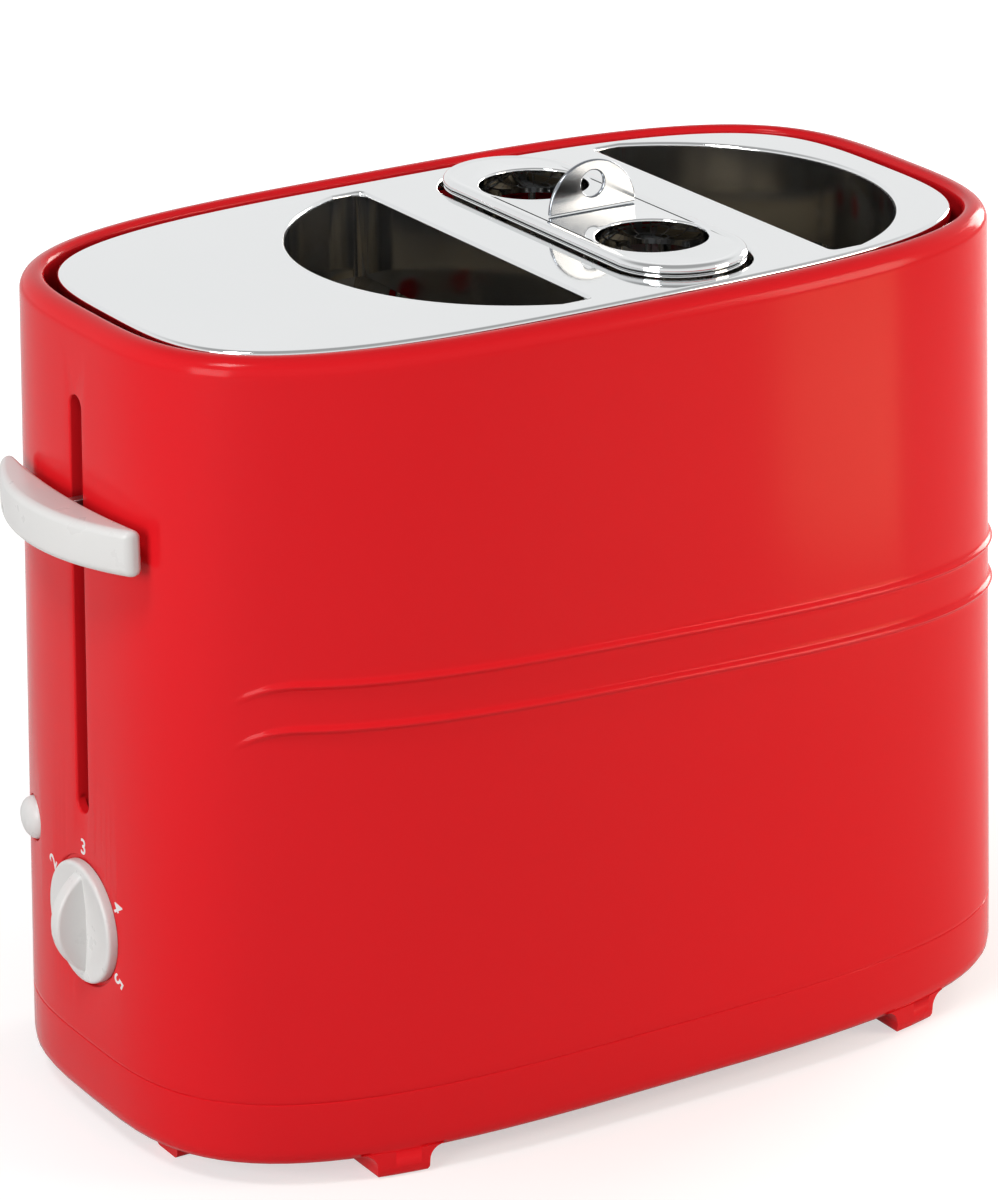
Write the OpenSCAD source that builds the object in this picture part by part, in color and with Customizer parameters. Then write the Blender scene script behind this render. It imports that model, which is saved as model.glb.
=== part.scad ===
// Pop-up toaster for two hot dogs and two buns, in millimetres with +Z up.
// The controls are on the -X end, the table is at z = 0, and the plan outline is a squared ellipse.

/* [Body] */
// Length of the body at its rim
rim_len = 250; // [248:1:256]
// Width of the body at its rim
rim_wid = 144.2; // [143.4:0.2:150]
// Height of the rim above the table
rim_top = 216; // [214:1:226]
// How far each end stands out at the feet, past the rim
end_spread = 5.2; // [4.4:0.2:6.4]
// How far each side stands out at the feet, past the rim
side_spread = 2.5; // [2.1:0.1:3.6]
// Squareness of the plan outline, where 2 is an ellipse
squareness = 3.33; // [3.28:0.01:3.7]
// Wall of the moulded shell and base
wall = 2.5; // [2:0.1:2.8]
// Width of the rolled rim
rim_roll = 6.3; // [5.8:0.1:6.8]
// Radius of the rim's outer edge
rim_round = 4.4; // [3:0.2:5]
// Depth of the return lip under the rim
lip_depth = 13; // [10:0.5:14]
// Height of the base from the feet's roots to the parting line
base_h = 17.4; // [16.6:0.2:20]
// Height of the feet
foot_h = 6; // [4:0.5:8]

/* [Raised lines] */
// Height of the lower raised line above the table, at mid length
line_low_z = 118.5; // [112:0.5:122]
// Height from the lower raised line to the upper one
line_pitch = 11.5; // [8:0.1:14]
// How far the raised lines stand out
line_out = 1.1; // [0.6:0.1:1.5]
// Height of each raised line
line_w = 2.6; // [2:0.2:3.4]
// How far the lines fall from one end of the body to the other
line_fall = 10.6; // [0:0.1:12]

/* [Top plate] */
// Thickness of the top plate
plate_t = 1; // [0.8:0.1:1.2]
// Gap between the body's outline and the plate's edge
plate_inset = 9.4; // [9:0.1:9.8]
// How far the plate lies below the rim
plate_drop = 0.7; // [0.2:0.1:1.5]
// Depth of the plate's folded skirt
skirt_depth = 6; // [4:0.5:8]
// Centre of the toasting chamber along the body
chamber_x = 24.3; // [23.8:0.1:25]
// Straight side of each bun opening, from the chamber's centre
well_side = 36.1; // [35.5:0.1:37]
// Depth of each bun opening, from its straight side to its round end
well_depth = 45.5; // [44:0.1:46]
// Width of each bun opening across the body
well_wid = 111.2; // [106:0.2:112]
// Radius of the round side of each bun opening
well_radius = 60.1; // [59.5:0.1:61]
// Depth of the folded collar in each bun opening
collar_depth = 22; // [14:1:26]

/* [Basket] */
// Width of the basket's rim
basket_wid = 36.2; // [34:0.2:38]
// Length of the basket's rim
basket_len = 114; // [108:1:116]
// How far the basket's rim stands above the plate
basket_rise = 3; // [2.4:0.2:5]
// Diameter of the two hot dog holes
dog_hole = 28; // [26:0.5:30]
// Distance between the two hot dog holes
dog_pitch = 56; // [48:1:60]
// Gap between the basket's rim and its opening
basket_gap = 1.2; // [0.8:0.1:1.6]
// Radius of the upright tab
tab_r = 13; // [11:0.5:15]
// Diameter of the hole in the tab
tab_hole = 7; // [5:0.5:9]

/* [Carriage] */
// Height of the bun racks when raised
rack_z = 109; // [107:0.5:112]
// Travel of the carriage when it is pressed down
travel = 74; // [68:0.5:75]
// Extra lift above the raised position
extra_lift = 25; // [15:0.5:26]
// Height of the lever's centre when raised
lever_z = 165.3; // [162:0.1:167]
// Diameter of the two guide rods
rod_d = 5; // [4:0.2:6]
// Distance of each guide rod from the middle
rod_y = 40; // [37:0.5:44]

/* [Lever, knob and button] */
// Height of the lever cap
lever_h = 12; // [10:0.2:14]
// Half the width of the lever cap
lever_half = 34; // [28:0.5:35]
// How far the lever cap stands out at its middle
lever_out = 11.1; // [8:0.1:14]
// Width of the lever slot
slot_w = 6; // [5:0.2:7]
// Height of the knob's centre above the table
knob_z = 56.5; // [54:0.5:58]
// Diameter of the knob
knob_d = 32.2; // [28:0.2:34]
// Thickness of the knob's fin
fin_t = 4.2; // [3:0.2:6]
// How far the knob's fin stands out from the body
fin_out = 8.8; // [7:0.2:12]
// Diameter of the cancel button
button_d = 11.4; // [9:0.2:12]
// Sideways place of the cancel button
button_y = 32.5; // [30:0.5:33]
// Height of the cancel button above the table
button_z = 72.6; // [71:0.1:75]
// Travel of the cancel button
button_travel = 2.5; // [1.5:0.1:2.6]

/* [Inside] */
// Thickness of the sheet steel
sheet = 1; // [0.8:0.1:1.2]
// Diameter of the guard wires
wire_d = 1.8; // [1.4:0.1:2]
// Wire of the return spring
spring_wire = 1.1; // [0.8:0.1:1.4]
// Turns of the return spring
spring_turns = 16; // [12:1:18]
// Diameter of the cord inlet's bore
cord_bore = 7; // [6:0.5:8]

/* [Fits] */
// Gap all round a shaft or rod in its bore
run_gap = 0.08; // [0.05:0.01:0.1]
// Gap between a moving piece and what it passes
pass_gap = 0.5; // [0.3:0.1:0.8]
// Gap between a piece and what it rests on
rest_gap = 0.2; // [0.1:0.05:0.3]

/* [Hidden] */
$fn = 48;
eps = 0.01;

// Colours, as they are in the room.
red = [0.86, 0.12, 0.13];
steel = [0.80, 0.81, 0.82];
dull_steel = [0.62, 0.63, 0.64];
white = [0.93, 0.94, 0.94];
mica = [0.78, 0.72, 0.58];
copper = [0.72, 0.42, 0.22];
dark = [0.13, 0.13, 0.14];
board_green = [0.10, 0.35, 0.20];

// ---- Heights ----
parting_z = foot_h + base_h;
floor_top = foot_h + wall;
plate_top = rim_top - plate_drop;
plate_under = plate_top - plate_t;
chassis_bottom = parting_z + 0.6;
chassis_top = rim_top - lip_depth - 3;
basket_top = plate_top + basket_rise;
arm_h = 8;
slot_end_gap = 1.4;
slot_bottom = lever_z - travel - arm_h / 2 - slot_end_gap;
slot_top = lever_z + extra_lift + arm_h / 2 + slot_end_gap;

// ---- The plan outline, which grows evenly from the rim down to the feet's roots ----
outline_steps = 96;
function down(z) = (rim_top - z) / (rim_top - foot_h);
function half_len(z) = rim_len / 2 + end_spread * down(z);
function half_wid(z) = rim_wid / 2 + side_spread * down(z);
function spread_pow(v, p) = sign(v) * pow(abs(v), p);
// A point of the outline at parameter t and height z, moved in by inset along its normal
function outline_point(t, z, inset) =
    let (a = half_len(z), b = half_wid(z), n = squareness,
         x = a * spread_pow(cos(t), 2 / n), y = b * spread_pow(sin(t), 2 / n),
         gx = spread_pow(x / a, n - 1) / a, gy = spread_pow(y / b, n - 1) / b,
         g = norm([gx, gy]))
    [x - inset * gx / g, y - inset * gy / g, z];
function outline_ring(inset, z) =
    [for (i = [0 : outline_steps - 1]) outline_point(360 * i / outline_steps, z, inset)];
// Where the outline, moved in by inset, crosses a line at a given y or a given x
function end_at(y, z, inset = 0) =
    (half_len(z) - inset) * pow(1 - pow(abs(y) / (half_wid(z) - inset), squareness), 1 / squareness);
function side_at(x, z, inset = 0) =
    (half_wid(z) - inset) * pow(1 - pow(abs(x) / (half_len(z) - inset), squareness), 1 / squareness);

// ---- The origin is the middle of the whole object's box, on the table ----
lever_gap = 0.65;
lever_back = half_len(lever_z - travel - lever_h / 2) + lever_gap;
lever_tip = lever_back + lever_out;
origin_x = (lever_tip - half_len(foot_h)) / 2;

// ---- Plan of the toasting chamber, u measured outwards from its centre ----
collar_t = 0.8;
well_end = well_side + well_depth;
well_arc_u = well_end - well_radius;
wire_clear = 0.1;
guard_side_u = well_side - collar_t - wire_clear - wire_d / 2;
guard_arc_r = well_radius + collar_t + wire_clear + wire_d / 2;
guard_arc_angles = [12, 30, 47];
card_t = 0.8;
ribbon_t = 0.25;
mid_card_u = (guard_side_u - wire_d / 2 + basket_wid / 2 + basket_gap) / 2 + 1.3;
end_card_u = well_arc_u + guard_arc_r + wire_d / 2 + pass_gap + ribbon_t + card_t / 2;
end_sheet_u = end_card_u + card_t / 2 + ribbon_t + 1;
tab_gap = 1.1;
chassis_y = rim_wid / 2 - plate_inset - plate_t - tab_gap;
control_x = chamber_x - end_sheet_u;
far_x = chamber_x + end_sheet_u;
far_flat = 38;
side_end_x = far_x - 25.5;
chassis_screw_out = 3.6;
card_half = 52;
end_card_half = 35;
card_low = chassis_bottom + 1.2;
card_high = chassis_top - 10;
channel_h = 3;
channel_w = 3;

// ---- Plan of the carriage ----
rack_t = 1;
bar_h = 3;
bar_w = 3;
rail_h = 6;
rail_t = 1.4;
rail_y = chassis_y - sheet - 2.3;
rail_end_x = side_end_x - 2;
plate_x = control_x - 10;
carriage_t = 1.5;
rod_x = plate_x - 7;
bush_len = 14;
bush_d = rod_d + 4;
bush_z = lever_z - arm_h / 2 - bush_len + 1;
bracket_z = slot_top + 1.7;
rod_socket_top = floor_top + 13;
rod_foot_z = floor_top + 3.5;
socket_d = rod_d + 7;

// ---- Plan of the controls ----
knob_face = half_len(knob_z);
knob_seat = 1.2;
board_x = -(half_len(knob_z) - 23.4);
board_t = 1.6;
board_half = 42;
board_post_y = board_half - 7;
post_wall = 4;
board_low = floor_top + 23.5;
board_high = slot_bottom - 1.5;
shaft_d = 6;
pot_depth = 10;
pedestal_top = floor_top + 29.5;
magnet_x = rod_x - 14;
magnet_top = pedestal_top + 18;
core_half = 12;
foot_x = 79;
foot_shift = 1.5;
end_foot_x = 114;
end_foot_y = 25;
boss_d = 9;
screw_d = 4;
left_boss = [-(half_len(parting_z) - 17.2), 42];
right_boss = [half_len(parting_z) - 10.3, 18];
post_y = 55;
far_post_y = 33;
gland_x = -92;
gland_z = foot_h + 10;
gland_in = 9.5;

// ---- Plan of the crumb tray ----
tray_low_x = -52;
tray_high_x = 96;
tray_front_y = -52;
tray_z = floor_top + rest_gap;
tongue_h = 3;
tray_h = 11;
tray_gap = 0.8;
tray_face_y = side_at(tray_high_x + 2, gland_z) - 1;

// ================= helpers =================
module in_frame() { translate([origin_x, 0, 0]) children(); }
module block(low, high) { translate(low) cube(high - low); }
module at_chamber(side) { translate([chamber_x, 0, 0]) mirror([side < 0 ? 1 : 0, 0, 0]) children(); }
module rod_x_way(d, low_x, high_x, y, z) { translate([low_x, y, z]) rotate([0, 90, 0]) cylinder(d = d, h = high_x - low_x); }
module rod_y_way(d, x, low_y, high_y, z) { translate([x, low_y, z]) rotate([-90, 0, 0]) cylinder(d = d, h = high_y - low_y); }
module stadium(wid, len) {
    square([wid, len - wid], center = true);
    for (s = [-1, 1]) translate([0, s * (len - wid) / 2]) circle(d = wid, $fn = 64);
}
module rounded_plate(low, high, r) {
    translate([low.x + r, low.y]) square([high.x - low.x - 2 * r, high.y - low.y]);
    translate([low.x, low.y + r]) square([high.x - low.x, high.y - low.y - 2 * r]);
    for (x = [low.x + r, high.x - r], y = [low.y + r, high.y - r]) translate([x, y]) circle(r = r, $fn = 32);
}

// A solid through rings of points; closed joins the last ring to the first, else both ends are capped.
module loft(rings, closed = false) {
    n = len(rings[0]);
    m = len(rings);
    points = [for (ring = rings) each ring];
    spans = closed ? m : m - 1;
    sides = [for (j = [0 : spans - 1], i = [0 : n - 1])
        let (k = (j + 1) % m, q = (i + 1) % n)
        each [[j * n + i, k * n + i, k * n + q], [j * n + i, k * n + q, j * n + q]]];
    caps = closed ? [] : [[for (i = [0 : n - 1]) i], [for (i = [n - 1 : -1 : 0]) (m - 1) * n + i]];
    polyhedron(points, concat(sides, caps));
}

// One unbroken helical wire between two heights, with flat ends.
module coil(r, wire, turns, low, high) {
    per_turn = 8;
    sides = 6;
    steps = turns * per_turn;
    rise = high - low - wire;
    loft([for (i = [0 : steps])
        let (a = 360 * i / per_turn, z = low + wire / 2 + rise * i / steps)
        [for (k = [0 : sides - 1])
            let (b = -360 * k / sides, q = r + wire / 2 * cos(b))
            [q * cos(a), q * sin(a), z + wire / 2 * sin(b)]]]);
}

// ================= housing =================
// How much of a raised line stands out at parameter t, and how far its tip curls down
line_fade_from = 131;
line_fade_to = 147;
line_curl = 7;
function turn_from_far_end(t) = abs(t > 180 ? t - 360 : t);
function line_share(t) = min(1, max(0, (line_fade_to - turn_from_far_end(t)) / (line_fade_to - line_fade_from)));
function line_drop(t) = line_curl * pow(1 - line_share(t), 2);
function line_ring(mid_z, dz, out) = [for (i = [0 : outline_steps - 1])
    let (t = 360 * i / outline_steps, x = outline_point(t, mid_z, 0).x,
         share = line_share(t), z = mid_z - line_fall * x / rim_len - line_drop(t) + dz)
    outline_point(t, z, -out * share)];
function line_rings(mid_z) = [
    line_ring(mid_z, -line_w / 2, 0), line_ring(mid_z, -line_w / 6, line_out),
    line_ring(mid_z, line_w / 6, line_out), line_ring(mid_z, line_w / 2, 0)];

module outer_shell() {
    inner_round = rim_roll - rim_round;
    lip_t = 2;
    skin = concat(
        [outline_ring(0.35, parting_z), outline_ring(0, parting_z + 0.4)],
        line_rings(line_low_z), line_rings(line_low_z + line_pitch),
        [for (a = [0 : 18 : 90]) outline_ring(rim_round * (1 - cos(a)), rim_top - rim_round * (1 - sin(a)))],
        [for (a = [60, 30, 0]) outline_ring(rim_roll - inner_round * (1 - cos(a)), rim_top - inner_round * (1 - sin(a)))],
        [outline_ring(rim_roll, rim_top - lip_depth), outline_ring(rim_roll - lip_t, rim_top - lip_depth),
         outline_ring(rim_roll - lip_t, rim_top - wall), outline_ring(wall, rim_top - wall - 1.5),
         outline_ring(wall, parting_z)]);
    color(red) difference() {
        union() {
            loft(skin, closed = true);
            for (s = [-1, 1]) {
                shell_boss(left_boss.x, s * left_boss.y);
                shell_boss(right_boss.x, s * right_boss.y);
            }
        }
        // lever slot with round ends
        block([-half_len(foot_h) - 5, -slot_w / 2, slot_bottom + slot_w / 2],
              [-half_len(rim_top) + 2 * wall + 1, slot_w / 2, slot_top - slot_w / 2]);
        for (z = [slot_bottom + slot_w / 2, slot_top - slot_w / 2])
            rod_x_way(slot_w, -half_len(foot_h) - 5, -half_len(rim_top) + 2 * wall + 1, 0, z);
        // dial recess and the knob hub's hole
        rod_x_way(knob_d + 2, -knob_face - 5, -knob_face + knob_seat, 0, knob_z);
        rod_x_way(shaft_d + 5, -knob_face - 5, -knob_face + 4 * wall, 0, knob_z);
        // cancel button's hole
        rod_x_way(button_d + 2 * pass_gap, -half_len(foot_h) - 5, -end_at(button_y, button_z) + 4 * wall, button_y, button_z);
        for (s = [-1, 1], p = [left_boss, right_boss])
            translate([p.x, s * p.y, parting_z - 1]) cylinder(d = screw_d + 2 * run_gap, h = 15);
    }
}
module shell_boss(x, y) {
    z = parting_z + 0.6;
    web_z = parting_z + tongue_h + 0.5;
    out = end_at(y, web_z, wall / 2);
    translate([x, y, z]) cylinder(d = boss_d, h = 16);
    block([min(x, sign(x) * out), y - 1, web_z], [max(x, sign(x) * out), y + 1, z + 14]);
}

foot_fillet = 4;
foot_round = 1.5;
foot_top = foot_h + 1.2;
// A foot from the side: rounded at the bottom, upright, and flared into the base at the top
module foot_profile(half) {
    side = concat([for (a = [0 : 15 : 90]) [half - foot_round + foot_round * sin(a), foot_round - foot_round * cos(a)]],
        [for (a = [0 : 15 : 90]) [half + foot_fillet - foot_fillet * cos(a), foot_top - foot_fillet + foot_fillet * sin(a)]]);
    polygon(concat(side, [for (i = [len(side) - 1 : -1 : 0]) [-side[i].x, side[i].y]]));
}
module feet() {
    half = 6.8;
    end_half = 5.5;
    foot_deep = 26;
    end_foot_deep = 14;
    intersection() {
        union() for (sx = [-1, 1], sy = [-1, 1]) {
            translate([sx * foot_x + foot_shift, sy * (side_at(foot_x, foot_h) - foot_deep / 2 + 3), 0]) rotate([90, 0, 0])
                translate([0, 0, -foot_deep / 2]) linear_extrude(foot_deep) foot_profile(half);
            translate([sx * end_foot_x, sy * end_foot_y, 0]) rotate([90, 0, 90])
                translate([0, 0, -end_foot_deep / 2]) linear_extrude(end_foot_deep) foot_profile(end_half);
        }
        // flush with the base's side, and rounded in at the bottom
        loft([for (ring = [[2.2, 0], [1.2, 0.5], [0.7, 1.5], [0.5, 3], [0.5, foot_top]])
            [for (p = outline_ring(ring[0], foot_h)) [p.x, p.y, ring[1]]]]);
    }
}
module base() {
    tongue_gap = 0.15;
    tongue_in = wall + tongue_gap;
    thick = 2;
    cup = [
        outline_ring(tongue_in + thick, floor_top), outline_ring(tongue_in + thick, parting_z + tongue_h),
        outline_ring(tongue_in, parting_z + tongue_h), outline_ring(tongue_in, parting_z),
        outline_ring(0.35, parting_z), outline_ring(0, parting_z - 0.4),
        outline_ring(0.1, foot_h + 4.5), outline_ring(0.5, foot_h + 2), outline_ring(1.4, foot_h + 0.6),
        outline_ring(3, foot_h)];
    color(red) difference() {
        union() {
            loft([for (i = [len(cup) - 1 : -1 : 0]) cup[i]]);
            feet();
            for (s = [-1, 1]) {
                for (p = [left_boss, right_boss]) translate([p.x, s * p.y, floor_top - eps])
                    cylinder(d = boss_d, h = parting_z + 0.4 - floor_top);
                // posts under the chassis
                block([control_x - 7, s * post_y - 4, floor_top - eps], [control_x + 3, s * post_y + 4, chassis_bottom]);
                block([far_x - 3, s * far_post_y - 4, floor_top - eps], [far_x + 7, s * far_post_y + 4, chassis_bottom]);
                // sockets for the guide rods
                translate([rod_x, s * rod_y, floor_top - eps]) cylinder(d = socket_d, h = rod_socket_top - floor_top + eps);
                // slotted posts that hold the circuit board
                difference() {
                    block([board_x - post_wall, s * board_post_y - 3, floor_top - eps],
                          [board_x + board_t + post_wall, s * board_post_y + 3, board_low + 6]);
                    block([board_x - 0.1, s * board_post_y - 4, board_low],
                          [board_x + board_t + 0.1, s * board_post_y + 4, board_low + 7]);
                }
            }
            block([magnet_x - 6, -core_half, floor_top - eps], [magnet_x + 6, core_half, pedestal_top]);
        }
        for (s = [-1, 1]) {
            for (p = [left_boss, right_boss]) translate([p.x, s * p.y, foot_h - 1]) {
                cylinder(d = screw_d + 2 * run_gap, h = parting_z);
                cylinder(d = 2 * screw_d + 0.6, h = 6);
            }
            translate([rod_x, s * rod_y, rod_foot_z]) cylinder(d = rod_d + 2 * run_gap, h = 30);
            translate([control_x - chassis_screw_out, s * post_y, chassis_bottom - 9]) cylinder(d = 3 + 2 * run_gap, h = 12);
            translate([far_x + chassis_screw_out, s * far_post_y, chassis_bottom - 9]) cylinder(d = 3 + 2 * run_gap, h = 12);
        }
        // tray opening in the back
        block([tray_low_x - tray_gap, tray_face_y - 10, floor_top], [tray_high_x + tray_gap, half_wid(0) + 5, tray_z + tray_h + tray_gap]);
        // cord inlet at the back
        rod_y_way(cord_bore + 4 + 2 * run_gap, gland_x, side_at(gland_x, gland_z) - 12, side_at(gland_x, gland_z) + 12, gland_z);
        // air slots in the floor
        for (x = [-30 : 12 : 78]) translate([x, -20, foot_h - 1]) cube([4, 40, wall + 2]);
    }
}

module cord_gland() {
    y = side_at(gland_x, gland_z);
    color(dark) difference() {
        union() {
            rod_y_way(cord_bore + 4, gland_x, y - gland_in + 0.5, y + 2.5, gland_z);
            rod_y_way(cord_bore + 7, gland_x, y + 2.5, y + 4.5, gland_z);
            rod_y_way(cord_bore + 7, gland_x, y - gland_in, y - gland_in + 2, gland_z);
        }
        rod_y_way(cord_bore, gland_x, y - 12, y + 8, gland_z);
    }
}

// The opening for one bun: a round side cut off straight, u outwards
module well_shape(grow) {
    intersection() {
        translate([well_arc_u, 0]) circle(r = well_radius + grow, $fn = 128);
        rounded_plate([well_side - grow, -well_wid / 2 - grow], [well_end + 20, well_wid / 2 + grow], 3);
    }
}
module top_plate() {
    edge = 1.1;
    color(steel) difference() {
        loft([outline_ring(plate_inset + plate_t, plate_under), outline_ring(plate_inset + plate_t, plate_top - skirt_depth),
              outline_ring(plate_inset, plate_top - skirt_depth), outline_ring(plate_inset, plate_top - edge),
              outline_ring(plate_inset + 0.35, plate_top - 0.3), outline_ring(plate_inset + edge, plate_top)]);
        for (s = [-1, 1]) at_chamber(s) translate([0, 0, plate_under - 1]) linear_extrude(4) well_shape(0);
        translate([chamber_x, 0, plate_under - 1]) linear_extrude(4)
            stadium(basket_wid + 2 * basket_gap, basket_len + 2 * basket_gap);
    }
}
module bun_collar(side) {
    color(steel) at_chamber(side) translate([0, 0, plate_under - collar_depth]) linear_extrude(collar_depth)
        difference() { well_shape(collar_t); well_shape(0); }
}

// Upright wires round one bun opening, tied by a hoop at the bottom
module bun_guard(side) {
    hoop_z = chassis_bottom + channel_h + wire_d / 2 + 0.4;
    reach = guard_arc_angles[len(guard_arc_angles) - 1];
    side_wires = [-40, -20, 0, 20, 40];
    corner_u = well_arc_u + guard_arc_r * cos(reach);
    corner_y = guard_arc_r * sin(reach);
    color(dull_steel) at_chamber(side) {
        for (y = side_wires) translate([guard_side_u, y, hoop_z]) cylinder(d = wire_d, h = plate_under - hoop_z);
        rod_y_way(wire_d, guard_side_u, -corner_y, corner_y, hoop_z);
        for (s = [-1, 1]) rod_x_way(wire_d - 0.2, guard_side_u, corner_u, s * corner_y, hoop_z);
        translate([well_arc_u, 0, hoop_z]) {
            for (a = guard_arc_angles, s = [-1, 1]) rotate([0, 0, s * a]) translate([guard_arc_r, 0, 0])
                cylinder(d = wire_d, h = plate_under - hoop_z);
            rotate([0, 0, -reach - 1]) rotate_extrude(angle = 2 * reach + 2) translate([guard_arc_r, 0]) circle(d = wire_d, $fn = 24);
        }
    }
}

// Sheet steel walls of the toasting chamber
module chassis_long_side(s) {
    face = s * (chassis_y - sheet / 2);
    low = [control_x - sheet / 2, face - sheet / 2, chassis_bottom];
    high = [side_end_x, face + sheet / 2, chassis_top];
    color(dull_steel) difference() {
        union() {
            block([control_x + sheet / 2, low.y, low.z], high);
            for (x = [-25, 25]) block([x - 6, low.y, chassis_top - eps], [x + 6, high.y, plate_under]);
        }
        for (x = [-46 : 16 : 66], z = [chassis_bottom + 14, chassis_top - 16])
            translate([x, face, z]) rotate([90, 0, 0]) cylinder(d = 7, h = 4, center = true);
    }
}
module chassis_front() { chassis_long_side(-1); }
module chassis_back() { chassis_long_side(1); }
module chassis_control_side() {
    rail_slot = rail_t + 2 * pass_gap + 0.8;
    color(dull_steel) difference() {
        union() {
            block([control_x - sheet / 2, -chassis_y, chassis_bottom], [control_x + sheet / 2, chassis_y, chassis_top]);
            for (s = [-1, 1]) block([control_x - 7, s * post_y - 4, chassis_bottom], [control_x, s * post_y + 4, chassis_bottom + sheet]);
        }
        for (s = [-1, 1]) {
            block([control_x - 3, s * rail_y - rail_slot / 2, rack_z - travel - rail_h - 2],
                  [control_x + 3, s * rail_y + rail_slot / 2, rack_z + extra_lift + 2]);
            translate([control_x - chassis_screw_out, s * post_y, chassis_bottom - 1]) cylinder(d = 3.4, h = 4);
        }
    }
}
module chassis_far_side() {
    run = far_x - side_end_x;
    rise = chassis_y - far_flat;
    color(dull_steel) difference() {
        union() {
            block([far_x - sheet / 2, -far_flat, chassis_bottom], [far_x + sheet / 2, far_flat, chassis_top]);
            for (s = [-1, 1]) {
                translate([0, 0, chassis_bottom]) linear_extrude(chassis_top - chassis_bottom) polygon([
                    [far_x - sheet / 2, s * far_flat], [far_x + sheet / 2, s * far_flat],
                    [side_end_x + sheet, s * chassis_y], [side_end_x, s * chassis_y], [side_end_x, s * (chassis_y - sheet)]]);
                block([far_x, s * far_post_y - 4, chassis_bottom], [far_x + 7, s * far_post_y + 4, chassis_bottom + sheet]);
            }
        }
        for (s = [-1, 1]) translate([far_x + chassis_screw_out, s * far_post_y, chassis_bottom - 1]) cylinder(d = 3.4, h = 4);
    }
}

// Mica cards and the ribbon wound on them, u outwards from the chamber's centre
function card_width(mid) = mid ? card_half : end_card_half;
module heater_card(side, mid) {
    u = mid ? mid_card_u : end_card_u;
    color(mica) at_chamber(side) block([u - card_t / 2, -card_width(mid), card_low], [u + card_t / 2, card_width(mid), card_high]);
}
module heating_ribbon(side, mid) {
    u = mid ? mid_card_u : end_card_u;
    half = card_width(mid);
    pitch = 11;
    low = card_low + 16;
    turns = floor((card_high - 16 - low) / pitch);
    ribbon_w = 1.8;
    color(copper) at_chamber(side) for (i = [0 : turns]) {
        z = low + i * pitch;
        difference() {
            block([u - card_t / 2 - ribbon_t, -half - ribbon_t, z], [u + card_t / 2 + ribbon_t, half + ribbon_t, z + ribbon_w]);
            block([u - card_t / 2, -half, z - 1], [u + card_t / 2, half, z + ribbon_w + 1]);
        }
        // link to the next turn, at alternate edges
        if (i < turns) {
            edge = i % 2 == 0 ? half : -half - ribbon_t;
            block([u - card_t / 2, edge, z + ribbon_w - eps], [u + card_t / 2, edge + ribbon_t, z + pitch + eps]);
        }
    }
}
module heater_channels() {
    color(dull_steel) for (side = [-1, 1], mid = [true, false], top = [true, false]) {
        u = mid ? mid_card_u : end_card_u;
        reach = mid ? chassis_y - sheet : far_flat - 1.5;
        z = top ? card_high - 2 : chassis_bottom;
        cut = top ? [z - 1, card_high] : [card_low, z + channel_h + 1];
        at_chamber(side) difference() {
            block([u - channel_w / 2, -reach, z], [mid ? u + channel_w / 2 : end_sheet_u - sheet / 2 - 0.1, reach, z + channel_h]);
            block([u - card_t / 2 - 0.05, -card_width(mid) - 0.1, cut[0]], [u + card_t / 2 + 0.05, card_width(mid) + 0.1, cut[1]]);
        }
    }
}

// Guide rods, the bracket that holds their tops, and the spring under the carriage
module rod_bracket() {
    half = rod_y + 7;
    out_x = rod_x - 6;
    sheet_x = control_x - sheet / 2;
    color(dull_steel) difference() {
        union() {
            block([out_x, -half, bracket_z], [sheet_x, half, bracket_z + 1.5]);
            block([sheet_x - 1.5, -half, bracket_z - 0.5], [sheet_x, half, bracket_z + eps]);
        }
        for (s = [-1, 1]) translate([rod_x, s * rod_y, bracket_z - 1]) cylinder(d = rod_d + 2 * run_gap, h = 4);
    }
}
module guide_rod(s) {
    color(steel) translate([rod_x, s * rod_y, rod_foot_z]) cylinder(d = rod_d, h = bracket_z + 2 - rod_foot_z);
}
module guide_rod_front() { guide_rod(-1); }
module guide_rod_back() { guide_rod(1); }
module return_spring() {
    low = rod_socket_top;
    high = bush_z;
    r = rod_d / 2 + spring_wire + 1.2;
    echo(str("return spring gap ", (high - low - spring_wire) / spring_turns - spring_wire));
    color(dull_steel) translate([rod_x, rod_y, 0]) coil(r, spring_wire, spring_turns, low, high);
}

// The magnet that holds the carriage down
module magnet_core() {
    color(dull_steel) translate([magnet_x, 0, 0]) {
        block([-5, -core_half, pedestal_top], [5, core_half, pedestal_top + 3]);
        for (s = [-1, 1]) block([-5, s * (core_half - 1.25) - 1.25, pedestal_top + 3 - eps], [5, s * (core_half - 1.25) + 1.25, magnet_top]);
        translate([0, 0, pedestal_top + 3 - eps]) cylinder(d = 7, h = magnet_top - pedestal_top - 3 + eps);
    }
}
module magnet_coil() {
    color(copper) translate([magnet_x, 0, pedestal_top + 3]) difference() {
        cylinder(d = 2 * core_half - 6, h = magnet_top - pedestal_top - 4.5);
        translate([0, 0, -1]) cylinder(d = 7.2, h = 30);
    }
}

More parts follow.
